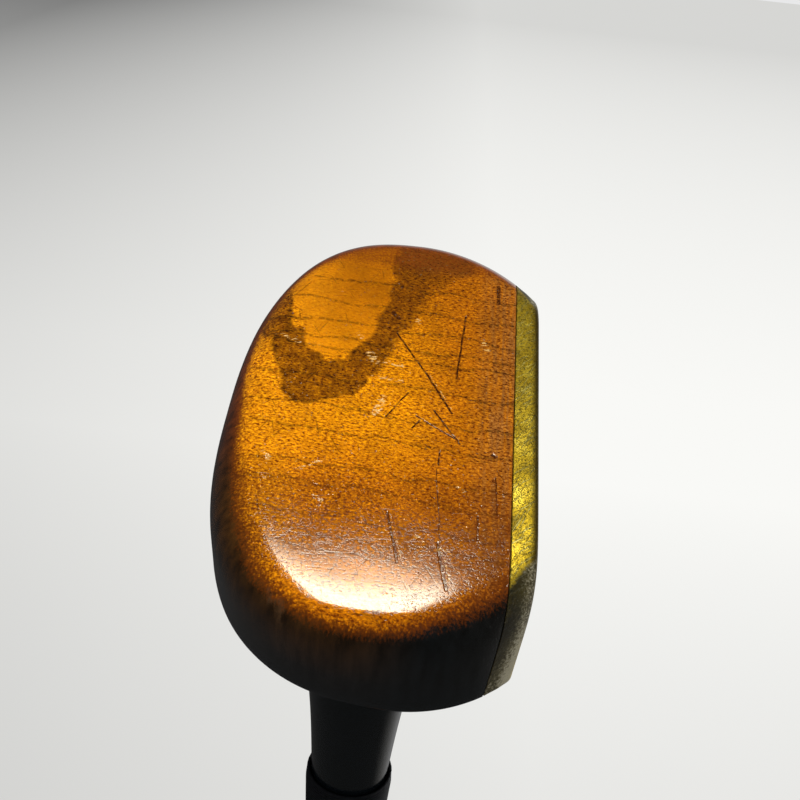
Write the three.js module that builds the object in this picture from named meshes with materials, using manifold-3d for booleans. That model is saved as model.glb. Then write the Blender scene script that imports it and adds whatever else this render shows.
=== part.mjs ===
// Hickory mallet putter: a wooden head with a brass face, a whipped neck, a hickory shaft and a leather grip.
// Millimetres. +Z runs along the shaft from the butt to the head, +X is the way the face looks at the sole,
// and the toe is on the +Y side. The origin is the centre of the butt's flat end.
import * as THREE from "three";
import { mergeVertices } from "three/addons/utils/BufferGeometryUtils.js";
import Module from "manifold-3d";

const wasm = await Module();
wasm.setup();

// Whole club
const degree = Math.PI / 180;
const full_turn = 2 * Math.PI;
const club_length = 864;
const lie_angle = 70 * degree;
const shaft_tilt = 90 * degree - lie_angle;
const face_loft = 3 * degree;
const seat_gap = 0.3;
const plate_seam = 0.2;
const cut_overrun = 6;

// Head block, looked at from the sole
const head_length = 112;
const head_height = 28;
const back_depth = 36;
const front_depth = 40;
const face_to_widest = 28;
const face_to_axis = 30;
const heel_to_axis = 21;
const back_power = 2.6;
const front_power = 2;
const toe_power = 2.3;
const heel_power = 2.7;
const heel_skew = 3.3;
const sole_roll_power = 2.2;
const sole_roll_depth = 16;
const sole_end_inset = 10;
const sole_back_inset = 9.5;
const sole_front_inset = 7.5;
const crown_roll = 3.5;
const crown_dome = 1.2;
const head_points = 72;
const roll_rings = 6;

// Neck, turned in one piece with the head
const neck_length = 60;
const neck_root_radius = 9.4;
const neck_end_radius = 6.8;
const neck_flare = 4.6;
const neck_flare_reach = 15;
const neck_fillet = 2;
const neck_fillet_reach = 2;
const heel_flare_share = 0.55;
const neck_sunk = 1.2;
const neck_points = 36;
const neck_rings = 13;

// Socket for the shaft's tip
const socket_length = 73;
const socket_end_gap = 1;

// Brass face plate and its screws
const plate_thickness = 5;
const screw_head_radius = 3.2;
const screw_head_depth = 2.6;
const screw_rim = 0.3;
const screw_shank_radius = 1.7;
const screw_tip_radius = 0.5;
const screw_point_length = 3;
const screw_length = 18;
const screw_sunk = 0.15;
const screw_slot_width = 0.9;
const screw_slot_depth = 1;
const screw_end_gap = 1;
const screw_points = 18;
const screw_end_inset = 19;
const screw_row_reach = 6.5;
const screw_places = [
  { end_share: -1, row_share: 1, slot_turn: 24 * degree },
  { end_share: -1, row_share: -1, slot_turn: 101 * degree },
  { end_share: 1, row_share: 1, slot_turn: 63 * degree },
  { end_share: 1, row_share: -1, slot_turn: 8 * degree },
  { end_share: 0, row_share: 0, slot_turn: 136 * degree },
];

// Lead weight cast into a pocket behind the face plate
const lead_length = 50;
const lead_height = 12;
const lead_depth = 16.5;
const lead_key_radius = 2.6;
const lead_key_length = 7;
const lead_key_spacing = 30;
const lead_key_slant = 14 * degree;
const lead_points = 12;

// Hickory shaft
const butt_radius = 8;
const grip_foot_shaft_radius = 7.6;
const middle_height = 520;
const middle_radius = 7.1;
const mouth_radius = 6.05;
const tip_radius = 4.9;
const butt_chamfer = 0.8;
const shaft_points = 36;

// Leather grip over its cloth listing
const grip_start = 2.5;
const grip_length = 272;
const listing_butt_thickness = 1.9;
const listing_foot_thickness = 0.6;
const listing_end_margin = 3;
const leather_width = 24.5;
const leather_seam = 0.6;
const leather_thickness = 1.6;
const leather_skived_thickness = 0.6;
const leather_skive_length = 9;
const leather_least_width = 1.2;
const leather_steps_per_turn = 20;
const listing_points = 36;

// Whippings of waxed thread
const thread_radius = 0.75;
const thread_spacing = 0.5;
const whipping_steps_per_turn = 20;
const thread_sides = 6;
const neck_whipping_start = 38;
const neck_whipping_loops = 21;
const grip_whipping_loops = 5;
const grip_whipping_cover = 6.5;
const whipping_step_length = 3;

// Tacks that hold the leather at the butt
const tack_height = 9.5;
const tack_head_radius = 2.4;
const tack_head_rise = 1.1;
const tack_shank_radius = 0.7;
const tack_length = 8.5;
const tack_point_length = 2;
const tack_point_radius = 0.25;
const tack_points = 16;
const tack_dome_rings = 3;
const tack_turn_shares = [0.25, 0.75];

// Places that follow from the sizes above
const crown_on_axis = head_height / Math.cos(shaft_tilt);
const crown_height = club_length - crown_on_axis;
const neck_end_height = crown_height - neck_length;
const shaft_end_height = neck_end_height + socket_length;
const grip_end = grip_start + grip_length;
const head_middle_x = face_to_axis - face_to_widest;
const head_middle_y = head_length / 2 - heel_to_axis - head_height * Math.tan(shaft_tilt);
const screw_end_reach = head_length / 2 - screw_end_inset;
const thread_pitch = 2 * thread_radius + thread_spacing;

// Geometry helpers

function faceOut(geometry) {
  const place = geometry.getAttribute("position");
  const index = geometry.getIndex();
  const corner = [new THREE.Vector3(), new THREE.Vector3(), new THREE.Vector3()];
  let volume = 0;
  for (let i = 0; i < index.count; i += 3) {
    corner.forEach((point, k) => point.fromBufferAttribute(place, index.getX(i + k)));
    volume += corner[0].dot(corner[1].cross(corner[2]));
  }
  if (volume < 0) {
    for (let i = 0; i < index.count; i += 3) {
      const kept = index.getX(i + 1);
      index.setX(i + 1, index.getX(i + 2));
      index.setX(i + 2, kept);
    }
  }
  return geometry;
}

function welded(geometry) {
  geometry.deleteAttribute("normal");
  geometry.deleteAttribute("uv");
  return faceOut(mergeVertices(geometry));
}

function solid(geometry) {
  const merged = welded(geometry);
  const mesh = new wasm.Mesh({
    numProp: 3,
    vertProperties: new Float32Array(merged.getAttribute("position").array),
    triVerts: new Uint32Array(merged.getIndex().array),
  });
  return new wasm.Manifold(mesh);
}

function geometryOf(manifold) {
  const mesh = manifold.getMesh();
  const geometry = new THREE.BufferGeometry();
  const places = new Float32Array(mesh.vertProperties);
  geometry.setAttribute("position", new THREE.BufferAttribute(places, 3));
  geometry.setIndex(new THREE.BufferAttribute(new Uint32Array(mesh.triVerts), 1));
  return geometry;
}

// A revolved solid about Z, from [radius, height] pairs that start and end on the axis
function turned(profile, points) {
  const outline = profile.map(([radius, height]) => new THREE.Vector2(radius, height));
  const geometry = new THREE.LatheGeometry(outline, points);
  geometry.rotateX(90 * degree);
  return geometry;
}

// A tube's wall about Z: outer heights and radii first, then the inner ones back to the start
function turnedShell(profile, points) {
  return turned([...profile, profile[0]], points);
}

// A solid through closed rings that all have the same number of points, with a fan at each end
function lofted(rings) {
  const count = rings[0].length;
  const places = [];
  const triangles = [];
  rings.flat().forEach((point) => places.push(point.x, point.y, point.z));
  for (let k = 0; k + 1 < rings.length; k += 1) {
    for (let i = 0; i < count; i += 1) {
      const next = (i + 1) % count;
      const a = k * count + i;
      const b = k * count + next;
      triangles.push(a, b, b + count, a, b + count, a + count);
    }
  }
  [0, rings.length - 1].forEach((k, end) => {
    const middle = new THREE.Vector3();
    rings[k].forEach((point) => middle.addScaledVector(point, 1 / count));
    const hub = places.length / 3;
    places.push(middle.x, middle.y, middle.z);
    for (let i = 0; i < count; i += 1) {
      const next = (i + 1) % count;
      const a = k * count + i;
      const b = k * count + next;
      triangles.push(...(end === 0 ? [b, a, hub] : [a, b, hub]));
    }
  });
  const geometry = new THREE.BufferGeometry();
  geometry.setAttribute("position", new THREE.Float32BufferAttribute(places, 3));
  geometry.setIndex(triangles);
  return geometry;
}

function ramp(from, to, share) {
  return from + (to - from) * share;
}

function smooth(share) {
  const held = Math.min(Math.max(share, 0), 1);
  return held * held * (3 - 2 * held);
}

function piecewise(stations, height) {
  const last = stations.length - 1;
  if (height <= stations[0][1]) {
    return stations[0][0];
  }
  for (let i = 0; i < last; i += 1) {
    const [low_radius, low] = stations[i];
    const [high_radius, high] = stations[i + 1];
    if (height <= high) {
      return ramp(low_radius, high_radius, (height - low) / (high - low));
    }
  }
  return stations[last][0];
}

// Shapes that several pieces follow

const shaft_stations = [
  [butt_radius, butt_chamfer],
  [grip_foot_shaft_radius, grip_end],
  [middle_radius, middle_height],
  [mouth_radius, neck_end_height],
  [tip_radius, shaft_end_height],
];

function shaftRadius(height) {
  return piecewise(shaft_stations, height);
}

// The neck's radius at a distance from the crown along the shaft, and what its flare adds to that
function neckFlare(reach) {
  const flare = neck_flare * Math.exp(-reach / neck_flare_reach);
  const fillet = neck_fillet * Math.exp(-reach / neck_fillet_reach);
  return flare + fillet;
}

function neckRadius(reach) {
  return ramp(neck_root_radius, neck_end_radius, reach / neck_length) + neckFlare(reach);
}

function listingRadius(height) {
  const share = (height - grip_start) / (grip_length - listing_end_margin);
  const thickness = ramp(listing_butt_thickness, listing_foot_thickness, Math.min(Math.max(share, 0), 1));
  return shaftRadius(height) + seat_gap + thickness;
}

function leatherInnerRadius(height) {
  return listingRadius(height) + seat_gap;
}

function leatherOuterRadius(height) {
  const share = (grip_end - height) / leather_skive_length;
  const thickness = ramp(leather_skived_thickness, leather_thickness, Math.min(Math.max(share, 0), 1));
  return leatherInnerRadius(height) + thickness;
}

// The head's outline at one level, drawn in by the roll of the sole or of the crown. Its heel is cut a
// little out of square towards the crown, so that it stands further out beside the face than at the back.
function headRing(height, end_inset, back_inset, front_inset) {
  const ring = [];
  for (let i = 0; i < head_points; i += 1) {
    const turn = (full_turn * i) / head_points;
    const end_power = Math.cos(turn) > 0 ? toe_power : heel_power;
    const side_power = Math.sin(turn) > 0 ? front_power : back_power;
    const along = Math.sign(Math.cos(turn)) * Math.abs(Math.cos(turn)) ** (2 / end_power);
    const across = Math.sign(Math.sin(turn)) * Math.abs(Math.sin(turn)) ** (2 / side_power);
    const depth = across > 0 ? front_depth - front_inset : back_depth - back_inset;
    const heel_share = Math.min(along, 0) ** 2;
    const skew = heel_skew * heel_share * ((depth * across) / face_to_widest) * (-height / head_height);
    const x = head_middle_x + depth * across;
    const y = head_middle_y + (head_length / 2 - end_inset) * along - skew;
    ring.push(new THREE.Vector3(x, y, height));
  }
  return ring;
}

// The head before its face is cut: a flat sole, a rolled edge, a full wall and a domed crown
function headPebble() {
  const rings = [];
  for (let k = 0; k <= roll_rings; k += 1) {
    const turn = (90 * degree * k) / roll_rings;
    const share = 1 - Math.sin(turn) ** (2 / sole_roll_power);
    const drop = sole_roll_depth * (1 - Math.cos(turn) ** (2 / sole_roll_power));
    const insets = [sole_end_inset * share, sole_back_inset * share, sole_front_inset * share];
    rings.push(headRing(-drop, ...insets));
  }
  for (let k = 0; k <= roll_rings; k += 1) {
    const turn = (90 * degree * k) / roll_rings;
    const inset = crown_roll * (1 - Math.cos(turn));
    const drop = head_height - crown_roll + (crown_roll - crown_dome) * Math.sin(turn);
    rings.push(headRing(-drop, inset, inset, inset));
  }
  const dome_shares = [3.2, 5.2];
  const dome_rise_shares = [0.62, 1];
  dome_shares.forEach((share, k) => {
    const inset = crown_roll * share;
    const drop = head_height - crown_dome * (1 - dome_rise_shares[k]);
    rings.push(headRing(-drop, inset, inset, inset));
  });
  return solid(lofted(rings));
}

// Everything on the face is placed from the face plane: depth is measured inwards from it
function fromFace(geometry, along, height, depth) {
  geometry.translate(-depth, along, height / Math.cos(face_loft));
  geometry.rotateY(face_loft);
  geometry.translate(face_to_axis, head_middle_y, 0);
  return geometry;
}

function faceSlab(from_depth, to_depth) {
  const thickness = to_depth - from_depth;
  const reach = head_length + 2 * cut_overrun;
  const slab = new THREE.BoxGeometry(thickness, reach, reach);
  return solid(fromFace(slab, 0, 0, (from_depth + to_depth) / 2));
}

// Turns a piece made along Z so that it runs into the face from the face plane
function intoFace(geometry, place) {
  geometry.rotateY(-90 * degree);
  return fromFace(geometry, place.along, place.height, 0);
}

function screwPlace(spot) {
  const height = -head_height / 2 + screw_row_reach * spot.row_share;
  return { along: screw_end_reach * spot.end_share, height, slot_turn: spot.slot_turn };
}

function screwProfile(growth, end_growth) {
  const shank = screw_shank_radius + growth;
  return [
    [0, growth === 0 ? screw_sunk : -cut_overrun],
    [screw_head_radius + growth, growth === 0 ? screw_sunk : -cut_overrun],
    [screw_head_radius + growth, screw_sunk + screw_rim],
    [shank, screw_head_depth + growth],
    [shank, screw_length - screw_point_length],
    [screw_tip_radius + growth, screw_length + end_growth],
    [0, screw_length + end_growth],
  ];
}

function screwHole(spot) {
  return solid(intoFace(turned(screwProfile(seat_gap, screw_end_gap), screw_points), screwPlace(spot)));
}

// Head, with its neck, socket, pocket and pilot holes

function neckSolid() {
  const rings = [];
  const heights = [-neck_sunk];
  for (let k = 0; k <= neck_rings; k += 1) {
    heights.push(neck_length * (k / neck_rings) ** 2);
  }
  heights.forEach((reach) => {
    const lean = shaft_tilt * (1 - smooth(reach / (2 * neck_flare_reach)));
    const ring = [];
    for (let i = 0; i < neck_points; i += 1) {
      const turn = (full_turn * i) / neck_points;
      const heel_side = Math.max(-Math.sin(turn), 0);
      const radius = neckRadius(reach) - neckFlare(reach) * (1 - heel_flare_share) * heel_side;
      const point = new THREE.Vector3(radius * Math.cos(turn), radius * Math.sin(turn), 0);
      point.applyAxisAngle(new THREE.Vector3(1, 0, 0), lean);
      point.z += crown_height - reach;
      ring.push(point);
    }
    rings.push(ring);
  });
  return intoHeadFrame(solid(lofted(rings)));
}

// The head is modelled square to its sole, so what lies on the shaft's axis is turned into that frame
function intoHeadFrame(manifold) {
  const geometry = geometryOf(manifold);
  geometry.translate(0, 0, -club_length);
  geometry.rotateX(-shaft_tilt);
  return solid(geometry);
}

function socketSolid() {
  const profile = [
    [0, neck_end_height - cut_overrun],
    [mouth_radius + seat_gap, neck_end_height - cut_overrun],
    [mouth_radius + seat_gap, neck_end_height],
    [tip_radius + seat_gap, shaft_end_height],
    [tip_radius + seat_gap, shaft_end_height + socket_end_gap],
    [0, shaft_end_height + socket_end_gap],
  ];
  return intoHeadFrame(solid(turned(profile, shaft_points)));
}

// A bar with round ends, lying along the face, with two slanted keys behind it that lock it in the wood
function leadSolid(growth, front_depth_of_bar) {
  const half_height = lead_height / 2 + growth;
  const half_run = (lead_length - lead_height) / 2;
  const outline = new THREE.Shape();
  outline.moveTo(-half_run, -half_height);
  outline.lineTo(half_run, -half_height);
  outline.absarc(half_run, 0, half_height, -90 * degree, 90 * degree, false);
  outline.lineTo(-half_run, half_height);
  outline.absarc(-half_run, 0, half_height, 90 * degree, 270 * degree, false);
  const seat = plate_thickness + plate_seam;
  const depth = seat + lead_depth + growth - front_depth_of_bar;
  const settings = { depth, bevelEnabled: false, curveSegments: lead_points };
  const bar = new THREE.ExtrudeGeometry(outline, settings);
  bar.rotateZ(90 * degree);
  bar.translate(0, 0, front_depth_of_bar);
  let lead = solid(intoFace(bar, { along: 0, height: -head_height / 2 }));
  [-1, 1].forEach((side) => {
    const reach = lead_key_length + growth;
    const key = new THREE.CylinderGeometry(lead_key_radius + growth, lead_key_radius + growth, 2 * reach, lead_points);
    key.rotateX(90 * degree);
    key.rotateX(side * lead_key_slant);
    key.translate(0, 0, seat + lead_depth);
    const along = (side * lead_key_spacing) / 2;
    lead = lead.add(solid(intoFace(key, { along, height: -head_height / 2 })));
  });
  return lead;
}

function headBlock(pebble) {
  let block = pebble.subtract(faceSlab(-head_length, plate_thickness + plate_seam));
  block = block.add(neckSolid());
  block = block.subtract(socketSolid());
  block = block.subtract(leadSolid(seat_gap, plate_thickness - cut_overrun));
  screw_places.forEach((spot) => {
    block = block.subtract(screwHole(spot));
  });
  return geometryOf(block);
}

function facePlate(pebble) {
  let plate = pebble.intersect(faceSlab(0, plate_thickness));
  screw_places.forEach((spot) => {
    plate = plate.subtract(screwHole(spot));
  });
  return geometryOf(plate);
}

function faceScrew(spot) {
  const blank = solid(intoFace(turned(screwProfile(0, 0), screw_points), screwPlace(spot)));
  const slot = new THREE.BoxGeometry(2 * screw_head_radius + cut_overrun, screw_slot_width, 2 * screw_slot_depth);
  slot.rotateZ(spot.slot_turn);
  slot.translate(0, 0, screw_sunk);
  return geometryOf(blank.subtract(solid(intoFace(slot, screwPlace(spot)))));
}

function leadWeight() {
  let lead = leadSolid(0, plate_thickness + plate_seam + seat_gap);
  screw_places.forEach((spot) => {
    lead = lead.subtract(screwHole(spot));
  });
  return geometryOf(lead);
}

// Shaft and grip

function tackPlace(share) {
  const seam_turn = (full_turn * (tack_height - grip_start)) / (leather_width + leather_seam);
  return { turn: seam_turn + full_turn * share, surface: leatherOuterRadius(tack_height) };
}

// Lays a piece made along Z, head up, on the grip's surface at a tack's place
function onGrip(geometry, place) {
  geometry.rotateY(90 * degree);
  geometry.translate(place.surface + seat_gap, 0, 0);
  geometry.rotateZ(place.turn);
  geometry.translate(0, 0, tack_height);
  return geometry;
}

function tackHole(share) {
  const radius = tack_shank_radius + seat_gap;
  const profile = [
    [0, -tack_length - screw_end_gap],
    [radius, -tack_length - screw_end_gap],
    [radius, cut_overrun],
    [0, cut_overrun],
  ];
  return solid(onGrip(turned(profile, tack_points), tackPlace(share)));
}

function gripTack(share) {
  const profile = [
    [0, -tack_length],
    [tack_point_radius, -tack_length],
    [tack_shank_radius, tack_point_length - tack_length],
    [tack_shank_radius, 0],
  ];
  for (let k = 0; k <= tack_dome_rings; k += 1) {
    const turn = (90 * degree * k) / tack_dome_rings;
    profile.push([tack_head_radius * Math.cos(turn), tack_head_rise * Math.sin(turn)]);
  }
  return welded(onGrip(turned(profile, tack_points), tackPlace(share)));
}

function shaftGeometry() {
  const profile = [[0, 0], [butt_radius - butt_chamfer, 0], ...shaft_stations, [0, shaft_end_height]];
  let shaft = solid(turned(profile, shaft_points));
  tack_turn_shares.forEach((share) => {
    shaft = shaft.subtract(tackHole(share));
  });
  return geometryOf(shaft);
}

function gripListing() {
  const end = grip_end - listing_end_margin;
  const profile = [
    [listingRadius(grip_start), grip_start],
    [listingRadius(end), end],
    [shaftRadius(end) + seat_gap, end],
    [shaftRadius(grip_start) + seat_gap, grip_start],
  ];
  let listing = solid(turnedShell(profile, listing_points));
  tack_turn_shares.forEach((share) => {
    listing = listing.subtract(tackHole(share));
  });
  return geometryOf(listing);
}

// The leather is one strip wound from the butt, cut to a taper at both ends so that the grip ends square
function gripLeather() {
  const pitch = leather_width + leather_seam;
  const first_edge = grip_start + leather_least_width;
  const last_edge = grip_end + leather_width - leather_least_width;
  const steps = Math.round((leather_steps_per_turn * (last_edge - first_edge)) / pitch);
  const rings = [];
  for (let i = 0; i <= steps; i += 1) {
    const edge = ramp(first_edge, last_edge, i / steps);
    const turn = (full_turn * (edge - grip_start)) / pitch;
    const top = Math.min(edge, grip_end);
    const foot = Math.max(edge - leather_width, grip_start);
    const corners = [
      [leatherInnerRadius(foot), foot],
      [leatherOuterRadius(foot), foot],
      [leatherOuterRadius(top), top],
      [leatherInnerRadius(top), top],
    ];
    rings.push(corners.map(([radius, height]) => {
      return new THREE.Vector3(radius * Math.cos(turn), radius * Math.sin(turn), height);
    }));
  }
  console.log(`grip leather: least gap between turns ${leather_seam.toFixed(2)} mm`);
  let leather = solid(lofted(rings));
  tack_turn_shares.forEach((share) => {
    leather = leather.subtract(tackHole(share));
  });
  return geometryOf(leather);
}

// A whipping is one unbroken thread wound up the club, with both ends straight for one thread diameter

function leastSelfGap(centres, turn_steps) {
  let least = Infinity;
  centres.forEach((point, i) => {
    for (let j = i + Math.round(turn_steps / 2); j < centres.length; j += 1) {
      least = Math.min(least, point.distanceTo(centres[j]) - 2 * thread_radius);
    }
  });
  return least;
}

function whipping(name, start_height, loops, carrierRadius, climb) {
  const steps = loops * whipping_steps_per_turn;
  const stations = [];
  for (let i = 0; i <= steps; i += 1) {
    const turn = (full_turn * i) / whipping_steps_per_turn;
    const height = start_height + (climb * thread_pitch * i) / whipping_steps_per_turn;
    const radius = carrierRadius(height) + seat_gap + thread_radius;
    const outward = new THREE.Vector3(Math.cos(turn), Math.sin(turn), 0);
    stations.push({ centre: outward.clone().multiplyScalar(radius).setZ(height), outward });
  }
  const straightEnd = (end, inner) => {
    const way = end.centre.clone().sub(inner.centre).normalize();
    return { centre: end.centre.clone().addScaledVector(way, 2 * thread_radius), outward: end.outward };
  };
  stations.unshift(straightEnd(stations[0], stations[1]));
  stations.push(straightEnd(stations[steps + 1], stations[steps]));
  const rings = stations.map(({ centre, outward }) => {
    const ring = [];
    for (let k = 0; k < thread_sides; k += 1) {
      const turn = (full_turn * k) / thread_sides;
      const point = centre.clone().addScaledVector(outward, thread_radius * Math.sin(turn));
      point.z += thread_radius * Math.cos(turn);
      ring.push(point);
    }
    return ring;
  });
  const gap = leastSelfGap(stations.map((station) => station.centre), whipping_steps_per_turn);
  console.log(`${name}: least gap to itself ${gap.toFixed(2)} mm`);
  return welded(lofted(rings));
}

// The thread climbs from the neck onto the shaft past the neck's thin end
function neckCarrier(height) {
  const reach = crown_height - height;
  if (reach < neck_length) {
    return neckRadius(reach);
  }
  const clear = thread_radius + seat_gap;
  const share = smooth((reach - neck_length - clear) / whipping_step_length);
  return ramp(neckRadius(neck_length), shaftRadius(height), share);
}

function gripCarrier(height) {
  const clear = thread_radius + seat_gap;
  const share = smooth((height - grip_end - clear) / whipping_step_length);
  return ramp(leatherOuterRadius(Math.min(height, grip_end)), shaftRadius(height), share);
}

// Materials

const finishes = {
  head_wood: { color: 0xb06a14, roughness: 0.4, metalness: 0 },
  brass: { color: 0xa5892b, roughness: 0.38, metalness: 1 },
  lead: { color: 0x6d7074, roughness: 0.6, metalness: 1 },
  hickory: { color: 0x8a5a2c, roughness: 0.45, metalness: 0 },
  listing_cloth: { color: 0x8d8470, roughness: 0.95, metalness: 0 },
  grip_leather: { color: 0x3a2417, roughness: 0.6, metalness: 0 },
  black_thread: { color: 0x14161a, roughness: 0.65, metalness: 0 },
};

const materials = {};
Object.entries(finishes).forEach(([name, finish]) => {
  materials[name] = new THREE.MeshStandardMaterial({ name, ...finish });
});

// Assembly

const putter = new THREE.Group();
putter.name = "hickory_mallet_putter";

function place(parent, name, geometry, material) {
  const shape = geometry.getIndex() ? geometry : mergeVertices(geometry);
  shape.computeVertexNormals();
  const mesh = new THREE.Mesh(shape, material);
  mesh.name = name;
  parent.add(mesh);
}

const head = new THREE.Group();
head.position.set(0, 0, club_length);
head.rotation.set(shaft_tilt, 0, 0);
putter.add(head);

const pebble = headPebble();
place(head, "head_block", headBlock(pebble), materials.head_wood);
place(head, "face_plate", facePlate(pebble), materials.brass);
place(head, "lead_weight", leadWeight(), materials.lead);
screw_places.forEach((spot, k) => {
  place(head, `face_screw_${k + 1}`, faceScrew(spot), materials.brass);
});

place(putter, "shaft", shaftGeometry(), materials.hickory);
place(putter, "grip_listing", gripListing(), materials.listing_cloth);
place(putter, "grip_leather", gripLeather(), materials.grip_leather);
tack_turn_shares.forEach((share, k) => {
  place(putter, `grip_tack_${k + 1}`, gripTack(share), materials.brass);
});

const neck_whipping_top = crown_height - neck_whipping_start - thread_radius;
const neck_thread = whipping("neck whipping", neck_whipping_top, neck_whipping_loops, neckCarrier, -1);
place(putter, "neck_whipping", neck_thread, materials.black_thread);

const grip_whipping_start = grip_end - grip_whipping_cover;
const grip_thread = whipping("grip whipping", grip_whipping_start, grip_whipping_loops, gripCarrier, 1);
place(putter, "grip_whipping", grip_thread, materials.black_thread);

export default putter;
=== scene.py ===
# Hickory mallet putter: the looks of every piece, in metres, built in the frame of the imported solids.
# +Z runs along the shaft from the butt to the head, +X is the way the face looks, the toe is on the +Y side.
import math
from functools import partial

import bmesh
import bpy
import numpy as np
from mathutils import Matrix, Vector, noise


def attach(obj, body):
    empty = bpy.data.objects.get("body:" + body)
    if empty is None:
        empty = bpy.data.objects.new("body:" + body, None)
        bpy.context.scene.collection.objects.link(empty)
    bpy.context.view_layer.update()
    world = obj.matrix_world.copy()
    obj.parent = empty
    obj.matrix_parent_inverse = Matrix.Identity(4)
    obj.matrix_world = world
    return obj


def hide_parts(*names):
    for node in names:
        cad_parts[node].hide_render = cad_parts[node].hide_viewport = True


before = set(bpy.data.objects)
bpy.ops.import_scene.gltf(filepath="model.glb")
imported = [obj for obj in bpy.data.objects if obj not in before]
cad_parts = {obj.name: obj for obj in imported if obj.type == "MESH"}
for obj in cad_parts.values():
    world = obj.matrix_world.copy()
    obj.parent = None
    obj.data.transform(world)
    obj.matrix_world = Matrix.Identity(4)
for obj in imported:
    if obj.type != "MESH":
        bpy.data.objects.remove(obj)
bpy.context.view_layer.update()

MM = 0.001
DEGREE = math.pi / 180
FULL_TURN = 2 * math.pi
QUARTER_TURN = 90 * DEGREE
SHARP_ANGLE = 35 * DEGREE

# Whole club
CLUB_LENGTH = 864 * MM
SHAFT_TILT = 20 * DEGREE
FACE_LOFT = 3 * DEGREE
SEAT_GAP = 0.3 * MM
PLATE_SEAM = 0.2 * MM
PILOT_END_GAP = 1 * MM
CUT_OVERRUN = 6 * MM

# Head, looked at from the sole
HEAD_LENGTH = 112 * MM
HEAD_HEIGHT = 28 * MM
BACK_DEPTH = 36 * MM
FRONT_DEPTH = 40 * MM
FACE_TO_WIDEST = 28 * MM
FACE_TO_AXIS = 30 * MM
HEEL_TO_AXIS = 21 * MM
BACK_POWER = 2.6
FRONT_POWER = 2
TOE_POWER = 2.3
HEEL_POWER = 2.7
HEEL_SKEW = 3.3 * MM
SOLE_ROLL_POWER = 2.2
HEEL_ROLL_POWER = 4.2
SOLE_ROLL_DEPTH = 16 * MM
SOLE_END_INSET = 10 * MM
SOLE_BACK_INSET = 9.5 * MM
SOLE_FRONT_INSET = 7.5 * MM
SOLE_CAMBER = 0.5 * MM
SOLE_CAMBER_START = 20 * MM
SOLE_CAMBER_POWER = 2.2
CROWN_ROLL = 3.5 * MM
CROWN_DOME = 1.2 * MM
CROWN_ROLL_TURN = 75 * DEGREE
CROWN_FLAT_INSET = 18.2 * MM
HEAD_POINTS = 288
OUTLINE_STEPS_PER_POINT = 40
HEAD_SHARP_ANGLE = 40 * DEGREE
SOLE_RINGS = 16
ROLL_RINGS = 22
WALL_RINGS = 4
CROWN_RINGS = 12
DOME_RINGS = 7
CROWN_INNER_RINGS = 22
HAND_WORK = 0.07 * MM
HAND_WORK_REACH = 15 * MM

# Neck, in one piece with the head
NECK_LENGTH = 60 * MM
NECK_ROOT_RADIUS = 9.4 * MM
NECK_END_RADIUS = 6.8 * MM
NECK_FLARE = 4.6 * MM
NECK_FLARE_REACH = 15 * MM
NECK_FILLET = 2 * MM
NECK_FILLET_REACH = 2 * MM
HEEL_FLARE_SHARE = 0.55
NECK_SUNK = 1.6 * MM
NECK_POINTS = 96
NECK_RINGS = 44
NECK_RING_POWER = 1.6
CROWN_RAISE = 1 * MM
CROWN_RAISE_REACH = 2.4 * MM
SOCKET_LENGTH = 73 * MM
SOCKET_END_GAP = 1 * MM

# Brass plate and its screws
PLATE_THICKNESS = 5 * MM
PLATE_EDGE_RADIUS = 0.7 * MM
PLATE_BACK_RADIUS = 0.12 * MM
PLATE_POINTS = 420
PLATE_EDGE_STEPS = 4
SCREW_HEAD_RADIUS = 3.2 * MM
SCREW_HEAD_DEPTH = 2.6 * MM
SCREW_RIM = 0.3 * MM
SCREW_SHANK_RADIUS = 1.7 * MM
SCREW_TIP_RADIUS = 0.5 * MM
SCREW_POINT_LENGTH = 3 * MM
SCREW_LENGTH = 18 * MM
SCREW_SUNK = 0.15 * MM
SCREW_SLOT_WIDTH = 0.9 * MM
SCREW_SLOT_DEPTH = 1 * MM
SCREW_END_INSET = 19 * MM
SCREW_ROW_REACH = 6.5 * MM
SCREW_EDGE_RADIUS = 0.1 * MM
SCREW_POINTS = 48
SCREW_SHARP_ANGLE = 30 * DEGREE
SCREW_PLACES = [
    (-1, 1, 24 * DEGREE),
    (-1, -1, 101 * DEGREE),
    (1, 1, 63 * DEGREE),
    (1, -1, 8 * DEGREE),
    (0, 0, 136 * DEGREE),
]

# Pocket for the lead
LEAD_LENGTH = 50 * MM
LEAD_HEIGHT = 12 * MM
LEAD_DEPTH = 16.5 * MM
LEAD_KEY_RADIUS = 2.6 * MM
LEAD_KEY_LENGTH = 7 * MM
LEAD_KEY_SPACING = 30 * MM
LEAD_KEY_SLANT = 14 * DEGREE
POCKET_POINTS = 16

# Hickory shaft
BUTT_RADIUS = 8 * MM
GRIP_FOOT_SHAFT_RADIUS = 7.6 * MM
MIDDLE_HEIGHT = 520 * MM
MIDDLE_RADIUS = 7.1 * MM
MOUTH_RADIUS = 6.05 * MM
TIP_RADIUS = 4.9 * MM
BUTT_CHAMFER = 0.8 * MM
BUTT_ROUND_SHARE = 1 / 3
SHAFT_POINTS = 96
SHAFT_RING_STEP = 12 * MM

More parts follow.
